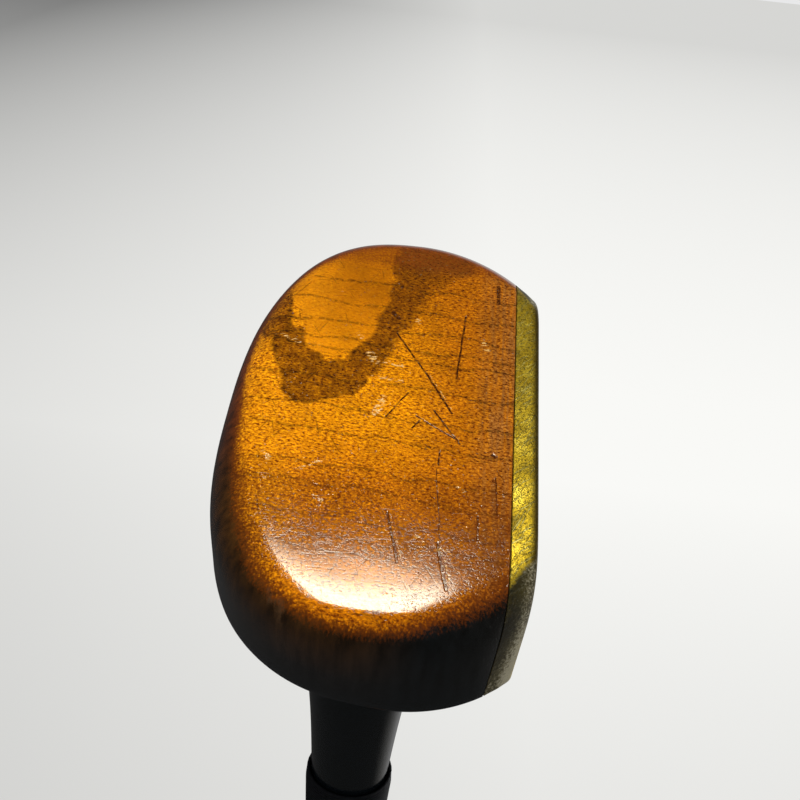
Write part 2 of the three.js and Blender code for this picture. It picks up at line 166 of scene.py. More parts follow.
# Leather grip over its cloth listing
GRIP_START = 2.5 * MM
GRIP_LENGTH = 272 * MM
LISTING_BUTT_THICKNESS = 1.9 * MM
LISTING_FOOT_THICKNESS = 0.6 * MM
LISTING_END_MARGIN = 3 * MM
LEATHER_WIDTH = 24.5 * MM
LEATHER_SEAM = 0.6 * MM
LEATHER_THICKNESS = 1.6 * MM
LEATHER_SKIVED_THICKNESS = 0.6 * MM
LEATHER_SKIVE_LENGTH = 9 * MM
LEATHER_LEAST_WIDTH = 1.2 * MM
LEATHER_EDGE_POWER = 9
LEATHER_CROWN_POWER = 2.6
LEATHER_STEPS_PER_TURN = 72
LEATHER_SECTION_POINTS = 28
LEATHER_SHARP_ANGLE = 50 * DEGREE

# Whippings: close-wound waxed thread over the same stretches as the solids
THREAD_RADIUS = 0.75 * MM
THREAD_PITCH = 2 * MM
FINE_THREAD_DIAMETER = 0.6 * MM
FINE_THREAD_PITCH = 0.6 * MM
WHIPPING_SWELL = 0.3 * MM
FINE_STEPS_PER_TURN = 40
FINE_THREAD_SIDES = 8
THREAD_SHARP_ANGLE = 60 * DEGREE
PLIES = 2
PLY_LENGTH = 1.6 * MM
NECK_WHIPPING_START = 38 * MM
NECK_WHIPPING_LOOPS = 21
GRIP_WHIPPING_LOOPS = 5
GRIP_WHIPPING_COVER = 6.5 * MM
WHIPPING_STEP_LENGTH = 3 * MM

# Tacks that hold the leather at the butt
TACK_HEIGHT = 9.5 * MM
TACK_HEAD_RADIUS = 2.4 * MM
TACK_HEAD_RISE = 1.1 * MM
TACK_SHANK_RADIUS = 0.7 * MM
TACK_LENGTH = 8.5 * MM
TACK_POINT_LENGTH = 2 * MM
TACK_POINT_RADIUS = 0.25 * MM
TACK_POINTS = 48
TACK_DOME_RINGS = 8
TACK_TURN_SHARES = [0.25, 0.75]

# Places that follow from the sizes above
CROWN_HEIGHT = CLUB_LENGTH - HEAD_HEIGHT / math.cos(SHAFT_TILT)
NECK_END_HEIGHT = CROWN_HEIGHT - NECK_LENGTH
SHAFT_END_HEIGHT = NECK_END_HEIGHT + SOCKET_LENGTH
GRIP_END = GRIP_START + GRIP_LENGTH
HEAD_MIDDLE_X = FACE_TO_AXIS - FACE_TO_WIDEST
HEAD_MIDDLE_Y = HEAD_LENGTH / 2 - HEEL_TO_AXIS - HEAD_HEIGHT * math.tan(SHAFT_TILT)
SCREW_END_REACH = HEAD_LENGTH / 2 - SCREW_END_INSET
HEAD_TO_CLUB = Matrix.Translation((0, 0, CLUB_LENGTH)) @ Matrix.Rotation(SHAFT_TILT, 4, "X")
FACE_TO_HEAD = Matrix.Translation((FACE_TO_AXIS, HEAD_MIDDLE_Y, 0)) @ Matrix.Rotation(FACE_LOFT, 4, "Y")
FACE_TO_CLUB = HEAD_TO_CLUB @ FACE_TO_HEAD
INTO_FACE = Matrix.Rotation(-QUARTER_TURN, 4, "Y")

# Camera, fitted to the outlines of the head and neck in the photograph
CAMERA_PLACE = (0.00358, -0.185205, 0.970759)
CAMERA_AIM = (0.00194, 0.01341, 0.87616)
CAMERA_ROLL = 6.345 * DEGREE
CAMERA_LENS = 51.51
CAMERA_SENSOR = 36
CAMERA_NEAREST = 10 * MM
CAMERA_FARTHEST = 100

# Lamp
LAMP_PLACE = (-0.02, -0.02, 1.46)
LAMP_WIDTH = 0.19
LAMP_REACH = 0.33
LAMP_POWER = 3.2
LAMP_FAR_FADE_SHARE = 0.38
LAMP_SIDE_FADE_SHARE = 0.22

# Light of the air, and what gloss mirrors in it between heights and ways of looking
SOFT_LIGHT = 0.48
BACKDROP_LIGHT = 0.84
GLOSS_DARK = 0.03
GLOSS_PALE = 0.95
GLOSS_BAND_FOOT = (-0.95, -0.6)
GLOSS_BAND_TOP = (0.1, 0.55)
GLOSS_SIDE_SHARE = 0.6
GLOSS_AHEAD_SHARE = 0.55
GLOSS_AHEAD_ENDS = (0.3, 0.95)

# Floor, with its tones and the places in metres between which each changes: its falloff to the left, near
# and far away is painted shade
FLOOR_REACH = 12
FLOOR_DROP = 0.5 * MM
FLOOR_LEFT_ENDS = (0.2, -2.2)
FLOOR_LEFT_PAINTED_SHADE = -0.64
FLOOR_FAR_ENDS = (2, 8)
FLOOR_FAR_PAINTED_FALLOFF = (1.08, 0.74)
FLOOR_NEAR_ENDS = (1.6, 0.7)
FLOOR_NEAR_PAINTED_SHADE = -0.22
FLOOR_BLUE_SHARE = 0.97
FLOOR_GLOW_SHARE = 0.8


# Meshes

def placed(name, data):
    """A new object at the origin of the scene, with this mesh, camera or light."""
    piece = bpy.data.objects.new(name, data)
    bpy.context.scene.collection.objects.link(piece)
    return piece


def bare_piece(name, places, edges=(), faces=()):
    """A new object at the origin with these vertices, edges and faces, as they are given."""
    mesh = bpy.data.meshes.new(name)
    mesh.from_pydata([tuple(p) for p in places], edges, faces)
    return placed(name, mesh)


def mesh_piece(name, places, faces):
    """A new object at the origin with these vertices and faces, its faces turned outwards."""
    piece = bare_piece(name, places, faces=faces)
    piece.data.validate()
    face_outwards(piece)
    return piece


def face_outwards(piece):
    shape = bmesh.new()
    shape.from_mesh(piece.data)
    bmesh.ops.recalc_face_normals(shape, faces=shape.faces)
    shape.to_mesh(piece.data)
    shape.free()


def ring_quads(rows, count, joined=False):
    """Faces from ring to ring, and from the last ring back to the first if they are joined."""
    faces = []
    for k in range(rows if joined else rows - 1):
        lower = k * count
        upper = (k + 1) % rows * count
        for i in range(count):
            after = (i + 1) % count
            faces.append((lower + i, lower + after, upper + after, upper + i))
    return faces


def lofted(name, rings, first_pole=None, last_pole=None):
    """A closed skin through rings of equally many points, each end a fan to a pole or one flat face."""
    rings = np.asarray(rings, float)
    count = rings.shape[1]
    places = [tuple(p) for p in rings.reshape(-1, 3)]
    faces = ring_quads(len(rings), count)
    for start, pole in ((0, first_pole), ((len(rings) - 1) * count, last_pole)):
        if pole is None:
            faces.append(tuple(range(start, start + count)))
            continue
        places.append(tuple(pole))
        for i in range(count):
            faces.append((start + i, start + (i + 1) % count, len(places) - 1))
    return mesh_piece(name, places, faces)


def turned(name, profile, points):
    """A revolved solid about Z, from (radius, height) pairs that start and end on the axis."""
    turns = np.linspace(0, FULL_TURN, points, endpoint=False)
    rings = []
    for radius, height in profile[1:-1]:
        heights = np.full(points, height)
        rings.append(np.stack([radius * np.cos(turns), radius * np.sin(turns), heights], 1))
    return lofted(name, rings, (0, 0, profile[0][1]), (0, 0, profile[-1][1]))


def moved(piece, matrix):
    piece.data.transform(matrix)
    return piece


def applied(piece):
    """Turns what the piece's modifiers make into its own plain mesh."""
    ready = piece.evaluated_get(bpy.context.evaluated_depsgraph_get())
    made = bpy.data.meshes.new_from_object(ready)
    piece.modifiers.clear()
    piece.data = made
    return piece


def combined(piece, tools, operation):
    """Cuts the tools out of the piece, or joins them to it, and removes them."""
    for tool in tools:
        change = piece.modifiers.new("change", "BOOLEAN")
        change.operation = operation
        change.solver = "EXACT"
        change.object = tool
    applied(piece)
    for tool in tools:
        bpy.data.objects.remove(tool)
    return piece


def cut_open(piece, point, normal, kind, clear_outer=False):
    """The piece's shape cut along a plane, and the cut's own corners or edges."""
    shape = bmesh.new()
    shape.from_mesh(piece.data)
    cut = {"geom": shape.verts[:] + shape.edges[:] + shape.faces[:], "clear_outer": clear_outer}
    made = bmesh.ops.bisect_plane(shape, plane_co=point, plane_no=normal, **cut)
    return shape, [part for part in made["geom_cut"] if isinstance(part, kind)]


def sliced(piece, point, normal):
    """Keeps what lies behind a plane and closes the cut with one flat face."""
    shape, rim = cut_open(piece, point, normal, bmesh.types.BMEdge, clear_outer=True)
    bmesh.ops.edgeloop_fill(shape, edges=rim)
    bmesh.ops.recalc_face_normals(shape, faces=shape.faces)
    shape.to_mesh(piece.data)
    shape.free()
    return piece


def copied(piece, name):
    return placed(name, piece.data.copy())


def smoothed(piece, sharp_angle=SHARP_ANGLE):
    piece.data.shade_smooth()
    piece.data.set_sharp_from_angle(angle=sharp_angle)
    return piece


def signed_power(values, power):
    return np.sign(values) * np.abs(values) ** power


def smooth(share):
    inside = np.clip(share, 0, 1)
    return inside * inside * (3 - 2 * inside)


def ramp(start, end, share):
    return start + (end - start) * share


def held(share):
    return min(max(share, 0), 1)


def evenly_along(path, values, count):
    """Values that go with a path's points, taken at places that lie evenly along it."""
    walked = np.concatenate([[0], np.cumsum(np.linalg.norm(np.diff(path, axis=0), axis=1))])
    return np.interp(np.linspace(0, walked[-1], count, endpoint=False), walked, values)


def round_axis(radius, turn, height):
    """A point at a turn round the shaft's axis."""
    return radius * math.cos(turn), radius * math.sin(turn), height


# Shapes that several pieces follow

SHAFT_STATIONS = [
    (BUTT_CHAMFER, BUTT_RADIUS),
    (GRIP_END, GRIP_FOOT_SHAFT_RADIUS),
    (MIDDLE_HEIGHT, MIDDLE_RADIUS),
    (NECK_END_HEIGHT, MOUTH_RADIUS),
    (SHAFT_END_HEIGHT, TIP_RADIUS),
]


def shaft_radius(height):
    return float(np.interp(height, *zip(*SHAFT_STATIONS)))


def neck_flare(reach):
    flare = NECK_FLARE * math.exp(-reach / NECK_FLARE_REACH)
    return flare + NECK_FILLET * math.exp(-reach / NECK_FILLET_REACH)


def neck_radius(reach):
    return ramp(NECK_ROOT_RADIUS, NECK_END_RADIUS, reach / NECK_LENGTH) + neck_flare(reach)


def listing_radius(height):
    share = held((height - GRIP_START) / (GRIP_LENGTH - LISTING_END_MARGIN))
    return shaft_radius(height) + SEAT_GAP + ramp(LISTING_BUTT_THICKNESS, LISTING_FOOT_THICKNESS, share)


def leather_inner_radius(height):
    return listing_radius(height) + SEAT_GAP


def leather_thickness(height):
    share = held((GRIP_END - height) / LEATHER_SKIVE_LENGTH)
    return ramp(LEATHER_SKIVED_THICKNESS, LEATHER_THICKNESS, share)


def leather_outer_radius(height):
    return leather_inner_radius(height) + leather_thickness(height)


def fuller(values, upper_power, lower_power):
    """Cosines or sines bent to a fuller outline, by one power above zero and by another below it."""
    return signed_power(values, 2 / np.where(values > 0, upper_power, lower_power))


def end_shares(turns):
    return fuller(np.cos(turns), TOE_POWER, HEEL_POWER)


def side_shares(turns):
    return fuller(np.sin(turns), FRONT_POWER, BACK_POWER)


def head_turns():
    """Places round the head's outline that lie evenly along it."""
    fine = np.linspace(0, FULL_TURN, OUTLINE_STEPS_PER_POINT * HEAD_POINTS + 1)
    outline = np.stack([HEAD_LENGTH / 2 * end_shares(fine), BACK_DEPTH * side_shares(fine)], 1)
    return evenly_along(outline, fine, HEAD_POINTS)


HEAD_TURNS = head_turns()


def head_ring(drop, end_inset, back_inset, front_inset, share=1):
    """The head's outline at one level, drawn in by a roll, or shrunk to a share of itself."""
    end = share * end_shares(HEAD_TURNS)
    side = share * side_shares(HEAD_TURNS)
    across = np.where(side > 0, FRONT_DEPTH - front_inset, BACK_DEPTH - back_inset) * side
    along = (HEAD_LENGTH / 2 - end_inset) * end
    out_of_square = np.minimum(end, 0) ** 2 * across / FACE_TO_WIDEST * drop / HEAD_HEIGHT
    past_start = np.maximum(-along - SOLE_CAMBER_START, 0)
    camber_share = past_start / (HEAD_LENGTH / 2 - SOLE_END_INSET - SOLE_CAMBER_START)
    camber = SOLE_CAMBER * camber_share**SOLE_CAMBER_POWER * np.maximum(1 - drop / SOLE_ROLL_DEPTH, 0)
    x = HEAD_MIDDLE_X + across
    y = HEAD_MIDDLE_Y + along - HEEL_SKEW * out_of_square
    return np.stack([x, y, -drop - camber], 1)


def neck_root_reach(x, y):
    """How far a point of the crown lies outside the neck's root there."""
    away = np.hypot(x, y + HEAD_HEIGHT * math.sin(SHAFT_TILT) / math.cos(SHAFT_TILT))
    heel_side = np.clip(-(y + HEAD_HEIGHT * math.tan(SHAFT_TILT)) / np.maximum(away, MM), 0, 1)
    root = neck_radius(0) - neck_flare(0) * (1 - HEEL_FLARE_SHARE) * heel_side
    return away - root


def head_pebble():
    """The head before its face is cut: flat sole, rolled edge, wall and domed crown, worked by hand."""
    rings = []
    for k in range(1, SOLE_RINGS):
        share = math.sin(QUARTER_TURN * k / SOLE_RINGS)
        rings.append(head_ring(0, SOLE_END_INSET, SOLE_BACK_INSET, SOLE_FRONT_INSET, share))
    power = ramp(SOLE_ROLL_POWER, HEEL_ROLL_POWER, np.minimum(end_shares(HEAD_TURNS), 0) ** 2)
    for k in range(ROLL_RINGS + 1):
        turn = QUARTER_TURN * k / ROLL_RINGS
        share = 1 - math.sin(turn) ** (2 / power)
        drop = SOLE_ROLL_DEPTH * (1 - max(math.cos(turn), 0) ** (2 / power))
        insets = [inset * share for inset in (SOLE_END_INSET, SOLE_BACK_INSET, SOLE_FRONT_INSET)]
        rings.append(head_ring(drop, *insets))
    wall_drop = HEAD_HEIGHT - CROWN_ROLL
    for k in range(1, WALL_RINGS):
        rings.append(head_ring(ramp(SOLE_ROLL_DEPTH, wall_drop, k / WALL_RINGS), 0, 0, 0))
    for k in range(CROWN_RINGS + 1):
        turn = CROWN_ROLL_TURN * k / CROWN_RINGS
        inset = CROWN_ROLL * (1 - math.cos(turn))
        drop = wall_drop + (CROWN_ROLL - CROWN_DOME) * math.sin(turn)
        rings.append(head_ring(drop, inset, inset, inset))
    dome_inset = inset
    dome_drop = drop
    for k in range(1, DOME_RINGS + 1):
        share = k / DOME_RINGS
        inset = ramp(dome_inset, CROWN_FLAT_INSET, share)
        drop = HEAD_HEIGHT - (HEAD_HEIGHT - dome_drop) * (1 - share) ** 2
        rings.append(head_ring(drop, inset, inset, inset))
    for k in range(1, CROWN_INNER_RINGS):
        share = 1 - k / CROWN_INNER_RINGS
        rings.append(head_ring(HEAD_HEIGHT, inset, inset, inset, share))
    for ring in rings[-DOME_RINGS - CROWN_INNER_RINGS:]:
        past_root = np.maximum(neck_root_reach(ring[:, 0], ring[:, 1]), 0)
        ring[:, 2] -= CROWN_RAISE * np.exp(-past_root / CROWN_RAISE_REACH)
    sole_pole = (HEAD_MIDDLE_X, HEAD_MIDDLE_Y, 0)
    crown_pole = (HEAD_MIDDLE_X, HEAD_MIDDLE_Y, -HEAD_HEIGHT)
    pebble = lofted("pebble", rings, sole_pole, crown_pole)
    for vertex in pebble.data.vertices:
        lump = noise.noise(vertex.co / HAND_WORK_REACH)
        vertex.co += vertex.normal * (HAND_WORK * lump)
    return pebble


# Head with its neck, socket, pocket and pilot holes

def neck_solid():
    turns = np.linspace(0, FULL_TURN, NECK_POINTS, endpoint=False)
    heel_side = np.maximum(-np.sin(turns), 0)
    reaches = [-NECK_SUNK]
    reaches += [NECK_LENGTH * (k / NECK_RINGS) ** NECK_RING_POWER for k in range(NECK_RINGS + 1)]
    rings = []
    for reach in reaches:
        lean = SHAFT_TILT * (1 - smooth(reach / (2 * NECK_FLARE_REACH)))
        radius = neck_radius(reach) - neck_flare(reach) * (1 - HEEL_FLARE_SHARE) * heel_side
        x = radius * np.cos(turns)
        y = radius * np.sin(turns)
        rings.append(np.stack([x, y * math.cos(lean), y * math.sin(lean) + CROWN_HEIGHT - reach], 1))
    root = (0, 0, CROWN_HEIGHT + NECK_SUNK)
    end = (0, 0, NECK_END_HEIGHT)
    return lofted("neck", rings, root, end)


def socket_solid():
    mouth = MOUTH_RADIUS + SEAT_GAP
    tip = TIP_RADIUS + SEAT_GAP
    end = SHAFT_END_HEIGHT + SOCKET_END_GAP
    profile = [
        (0, NECK_END_HEIGHT - CUT_OVERRUN),
        (mouth, NECK_END_HEIGHT - CUT_OVERRUN),
        (mouth, NECK_END_HEIGHT),
        (tip, SHAFT_END_HEIGHT),
        (tip, end),
        (0, end),
    ]
    return turned("socket", profile, SHAFT_POINTS)


def screw_spots():
    """Where the screws stand in the face's own plane."""
    spots = []
    for end_share, row_share, turn in SCREW_PLACES:
        height = (-HEAD_HEIGHT / 2 + SCREW_ROW_REACH * row_share) / math.cos(FACE_LOFT)
        spots.append(Vector((0, SCREW_END_REACH * end_share, height)))
    return spots


def screw_holes():
    shank = SCREW_SHANK_RADIUS + SEAT_GAP
    head = SCREW_HEAD_RADIUS + SEAT_GAP
    end = SCREW_LENGTH + PILOT_END_GAP
    profile = [
        (0, -CUT_OVERRUN),
        (head, -CUT_OVERRUN),
        (head, SCREW_SUNK + SCREW_RIM),
        (shank, SCREW_HEAD_DEPTH + SEAT_GAP),
        (shank, SCREW_LENGTH - SCREW_POINT_LENGTH),
        (SCREW_TIP_RADIUS + SEAT_GAP, end),
        (0, end),
    ]
    holes = []
    for spot in screw_spots():
        place = FACE_TO_CLUB @ Matrix.Translation(spot) @ INTO_FACE
        holes.append(moved(turned("hole", profile, SCREW_POINTS), place))
    return holes


def pocket_solids():
    """A bar with round ends along the face, and two slanted round keys behind it."""
    seat = PLATE_THICKNESS + PLATE_SEAM
    half_height = LEAD_HEIGHT / 2 + SEAT_GAP
    half_run = (LEAD_LENGTH - LEAD_HEIGHT) / 2
    outline = []
    for side in (1, -1):
        for k in range(POCKET_POINTS + 1):
            turn = side * (90 - 180 * k / POCKET_POINTS) * DEGREE
            outline.append((half_height * math.sin(turn), side * (half_run + half_height * math.cos(turn))))
    rings = []
    for depth in (PLATE_THICKNESS - CUT_OVERRUN, seat + LEAD_DEPTH + SEAT_GAP):
        rings.append([(x, y, depth) for x, y in outline])
    middle = FACE_TO_CLUB @ Matrix.Translation((0, 0, -HEAD_HEIGHT / 2 / math.cos(FACE_LOFT))) @ INTO_FACE
    solids = [moved(lofted("pocket", rings), middle)]
    reach = LEAD_KEY_LENGTH + SEAT_GAP
    radius = LEAD_KEY_RADIUS + SEAT_GAP
    for side in (-1, 1):
        key = turned("key", [(0, -reach), (radius, -reach), (radius, reach), (0, reach)], POCKET_POINTS)
        place = Matrix.Translation((0, side * LEAD_KEY_SPACING / 2, seat + LEAD_DEPTH))
        solids.append(moved(key, middle @ place @ Matrix.Rotation(side * LEAD_KEY_SLANT, 4, "X")))
    return solids


def face_plane(depth):
    """A point and the outward normal of the plane at a depth behind the face."""
    return FACE_TO_CLUB @ Vector((-depth, 0, 0)), FACE_TO_CLUB.to_3x3() @ Vector((1, 0, 0))


def head_wood(pebble):
    block = sliced(copied(pebble, "head_wood"), *face_plane(PLATE_THICKNESS + PLATE_SEAM))
    combined(block, [neck_solid()], "UNION")
    combined(block, [socket_solid(), *pocket_solids(), *screw_holes()], "DIFFERENCE")
    return smoothed(block, HEAD_SHARP_ANGLE)


# Brass plate

def face_section(pebble, depth):
    """The head's outline in a plane behind the face, as (along, height) points that lie evenly on it."""
    shape, corners = cut_open(pebble, *face_plane(depth), bmesh.types.BMVert)
    back = FACE_TO_CLUB.inverted()
    flat = np.array([tuple(back @ corner.co) for corner in corners])[:, 1:]
    shape.free()
    middle = np.array([0, -HEAD_HEIGHT / 2])
    stretch = np.array([HEAD_HEIGHT / HEAD_LENGTH, 1])
    around = (flat - middle) * stretch
    ordered = flat[np.argsort(np.arctan2(around[:, 1], around[:, 0]))]
    closed = np.concatenate([ordered, ordered[:1]])
    return np.stack([evenly_along(closed, values, PLATE_POINTS) for values in closed.T], 1)


def drawn_in(section, inset):
    """A section moved inwards by a distance, square to its own edge."""
    way = np.roll(section, -1, 0) - np.roll(section, 1, 0)
    way /= np.linalg.norm(way, axis=1, keepdims=True)
    return section + inset * np.stack([-way[:, 1], way[:, 0]], 1)


def brass_plate(pebble):
    stations = []
    for k in range(PLATE_EDGE_STEPS + 1):
        turn = QUARTER_TURN * (1 - k / PLATE_EDGE_STEPS)
        stations.append((PLATE_EDGE_RADIUS * (1 - math.sin(turn)), PLATE_EDGE_RADIUS * (1 - math.cos(turn))))
    stations.append((PLATE_THICKNESS / 2, 0))
    stations.append((PLATE_THICKNESS - PLATE_BACK_RADIUS, 0))
    stations.append((PLATE_THICKNESS, PLATE_BACK_RADIUS))
    rings = []
    for depth, inset in stations:
        section = drawn_in(face_section(pebble, depth), inset)
        rings.append([FACE_TO_CLUB @ Vector((-depth, along, height)) for along, height in section])
    plate = lofted("brass_plate", rings)
    return smoothed(combined(plate, screw_holes(), "DIFFERENCE"))


# Nodes

def linear(code):
    """An sRGB hex colour as the linear values that the shaders take."""
    parts = [int(code[k:k + 2], 16) / 255 for k in (1, 3, 5)]
    return tuple(p / 12.92 if p <= 0.04045 else ((p + 0.055) / 1.055) ** 2.4 for p in parts) + (1,)


def add_node(tree, kind, inputs=(), stops=(), curve=(), **settings):
    """Adds one node: its settings, then its inputs by place or by name, each a value, a node or a socket."""
    if isinstance(kind, tuple):
        kind, settings = kind
    node = tree.nodes.new(kind)
    for name, value in settings.items():
        setattr(node, name, value)
    usable = [socket for socket in node.inputs if socket.enabled]
    for key, value in inputs.items() if isinstance(inputs, dict) else enumerate(inputs):
        socket = usable[key] if isinstance(key, int) else next(s for s in usable if s.name == key)
        if isinstance(value, bpy.types.Node):
            value = next(s for s in value.outputs if s.enabled)
        if isinstance(value, bpy.types.NodeSocket):
            tree.links.new(value, socket)
        else:
            socket.default_value = linear(value) if str(value).startswith("#") else value
    for k, (place, colour) in enumerate(stops):
        elements = node.color_ramp.elements
        stop = elements[k] if k < 2 else elements.new(place)
        stop.position = place
        stop.color = linear(colour)
    for k, place in enumerate(curve):
        points = node.mapping.curves[0].points
        point = points[k] if k < 2 else points.new(*place)
        point.location = place
        point.handle_type = "VECTOR"
    if curve:
        node.mapping.update()
    return node


# Geometry Nodes trees

KEPT_VALUES = ("GeometryNodeStoreNamedAttribute", {"data_type": "FLOAT", "domain": "POINT"})


def nodes_tree(name, sizes):
    """A tree with a mesh going in and out and named inputs, the function that adds to it, and its inputs."""
    tree = bpy.data.node_groups.new(name, "GeometryNodeTree")
    for way in ("INPUT", "OUTPUT"):
        tree.interface.new_socket("Mesh", in_out=way, socket_type="NodeSocketGeometry")
    for label, kind, value in sizes:
        socket = tree.interface.new_socket(label, in_out="INPUT", socket_type=kind)
        if value is not None:
            socket.default_value = value
    add = partial(add_node, tree)
    return tree, add, add("NodeGroupInput").outputs


def tree_end(add, made, material):
    """Makes the result one plain mesh, gives it its material and hands it out."""
    plain = add("GeometryNodeRealizeInstances", {"Geometry": made})
    dressed = add("GeometryNodeSetMaterial", {"Geometry": plain, "Material": material})
    add("NodeGroupOutput", {"Mesh": dressed})


def run_tree(piece, tree, values):
    """Runs a tree on the piece with these input values and keeps the result as its plain mesh."""
    change = piece.modifiers.new("nodes", "NODES")
    change.node_group = tree
    for socket in tree.interface.items_tree:
        if socket.in_out == "INPUT" and socket.name in values:
            change[socket.identifier] = values[socket.name]
    return applied(piece)


def thread_tree():
    """A round thread along a path, with its length and its own turn kept for the lay of its strands."""
    sizes = [
        ("Thread Diameter", "NodeSocketFloat", FINE_THREAD_DIAMETER),
        ("Sides", "NodeSocketInt", FINE_THREAD_SIDES),
        ("Finish", "NodeSocketMaterial", None),
    ]
    tree, add, given = nodes_tree("wound_thread", sizes)
    path = add("GeometryNodeMeshToCurve", {"Mesh": given["Mesh"]})
    along = add("GeometryNodeSplineParameter").outputs["Length"]
    kept = add(KEPT_VALUES, {"Geometry": path, "Name": "along", "Value": along})
    radius = add("ShaderNodeMath", (given["Thread Diameter"], 0.5), operation="MULTIPLY")
    round_section = {"Resolution": given["Sides"], "Radius": radius}
    ring = add("GeometryNodeCurvePrimitiveCircle", round_section, mode="RADIUS")
    around = add("GeometryNodeSplineParameter").outputs["Factor"]
    section = add(KEPT_VALUES, {"Geometry": ring, "Name": "around", "Value": around})
    skin = add("GeometryNodeCurveToMesh", {"Curve": kept, "Profile Curve": section, "Fill Caps": True})
    tree_end(add, skin, given["Finish"])
    return tree


def screws_tree():
    """One screw on each point, turned by the point's own slot turn."""
    sizes = [
        ("Screw", "NodeSocketObject", None),
        ("Scale", "NodeSocketFloat", 1.0),
        ("Finish", "NodeSocketMaterial", None),
    ]
    tree, add, given = nodes_tree("screws_on_points", sizes)
    screw = add("GeometryNodeObjectInfo", {"Object": given["Screw"]}).outputs["Geometry"]
    slot_turn = add("GeometryNodeInputNamedAttribute", {"Name": "slot_turn"}, data_type="FLOAT")
    turn = add("ShaderNodeCombineXYZ", {"Z": slot_turn})
    spots = {"Points": given["Mesh"], "Instance": screw, "Rotation": turn, "Scale": given["Scale"]}
    tree_end(add, add("GeometryNodeInstanceOnPoints", spots), given["Finish"])
    return tree


# Screws

def screw_blank():
    """One countersunk slotted screw along Z, its head down at zero and its point up."""
    soft = SCREW_EDGE_RADIUS
    profile = [
        (0, SCREW_SUNK),
        (SCREW_HEAD_RADIUS - soft, SCREW_SUNK),
        (SCREW_HEAD_RADIUS, SCREW_SUNK + soft),
        (SCREW_HEAD_RADIUS, SCREW_SUNK + SCREW_RIM),
        (SCREW_SHANK_RADIUS, SCREW_HEAD_DEPTH),
        (SCREW_SHANK_RADIUS, SCREW_LENGTH - SCREW_POINT_LENGTH),
        (SCREW_TIP_RADIUS, SCREW_LENGTH),
        (0, SCREW_LENGTH),
    ]
    blank = turned("screw_blank", profile, SCREW_POINTS)
    half_run = SCREW_HEAD_RADIUS + CUT_OVERRUN
    half_width = SCREW_SLOT_WIDTH / 2
    corners = [(-half_run, -half_width), (half_run, -half_width)]
    corners += [(half_run, half_width), (-half_run, half_width)]
    levels = (SCREW_SUNK - CUT_OVERRUN, SCREW_SUNK + SCREW_SLOT_DEPTH)
    slot = lofted("slot", [[(x, y, level) for x, y in corners] for level in levels])
    return smoothed(combined(blank, [slot], "DIFFERENCE"), SCREW_SHARP_ANGLE)


def plate_screws(material):
    screws = bare_piece("plate_screws", [INTO_FACE.inverted() @ spot for spot in screw_spots()])
    turns = screws.data.attributes.new("slot_turn", "FLOAT", "POINT")
    turns.data.foreach_set("value", [turn for end, row, turn in SCREW_PLACES])
    blank = screw_blank()
    run_tree(screws, screws_tree(), {"Screw": blank, "Scale": 1.0, "Finish": material})
    bpy.data.objects.remove(blank)
    return moved(screws, FACE_TO_CLUB @ INTO_FACE)


# Shaft and grip

def tack_turn(share):
    seam_turn = FULL_TURN * (TACK_HEIGHT - GRIP_START) / (LEATHER_WIDTH + LEATHER_SEAM)
    return seam_turn + FULL_TURN * share


def tack_matrix(share):
    surface = Matrix.Translation((leather_outer_radius(TACK_HEIGHT) + SEAT_GAP, 0, 0))
    head_up = Matrix.Rotation(QUARTER_TURN, 4, "Y")
    aside = Matrix.Rotation(tack_turn(share), 4, "Z")
    return Matrix.Translation((0, 0, TACK_HEIGHT)) @ aside @ surface @ head_up


def tack_holes():
    radius = TACK_SHANK_RADIUS + SEAT_GAP
    foot = -TACK_LENGTH - PILOT_END_GAP
    profile = [(0, foot), (radius, foot), (radius, CUT_OVERRUN), (0, CUT_OVERRUN)]
    return [moved(turned("hole", profile, TACK_POINTS), tack_matrix(share)) for share in TACK_TURN_SHARES]


def butt_tacks():
    """Domed brass tacks, joined as one piece."""
    profile = [
        (0, -TACK_LENGTH),
        (TACK_POINT_RADIUS, -TACK_LENGTH),
        (TACK_SHANK_RADIUS, TACK_POINT_LENGTH - TACK_LENGTH),
        (TACK_SHANK_RADIUS, 0),
    ]
    for k in range(TACK_DOME_RINGS):
        turn = QUARTER_TURN * k / TACK_DOME_RINGS
        profile.append((TACK_HEAD_RADIUS * math.cos(turn), TACK_HEAD_RISE * math.sin(turn)))
    profile.append((0, TACK_HEAD_RISE))
    shape = bmesh.new()
    for share in TACK_TURN_SHARES:
        tack = moved(turned("tack", profile, TACK_POINTS), tack_matrix(share))
        shape.from_mesh(tack.data)
        bpy.data.objects.remove(tack)
    tacks = placed("butt_tacks", bpy.data.meshes.new("butt_tacks"))
    shape.to_mesh(tacks.data)
    shape.free()
    return smoothed(tacks)


def shaft_wood():
    rounding = BUTT_ROUND_SHARE * BUTT_CHAMFER
    profile = [(0, 0), (BUTT_RADIUS - BUTT_CHAMFER, 0), (BUTT_RADIUS - rounding, rounding)]
    steps = round((SHAFT_END_HEIGHT - BUTT_CHAMFER) / SHAFT_RING_STEP)
    for k in range(steps + 1):
        height = ramp(BUTT_CHAMFER, SHAFT_END_HEIGHT, k / steps)
        profile.append((shaft_radius(height), height))
    profile.append((0, SHAFT_END_HEIGHT))
    shaft = turned("shaft_wood", profile, SHAFT_POINTS)
    return smoothed(combined(shaft, tack_holes(), "DIFFERENCE"))


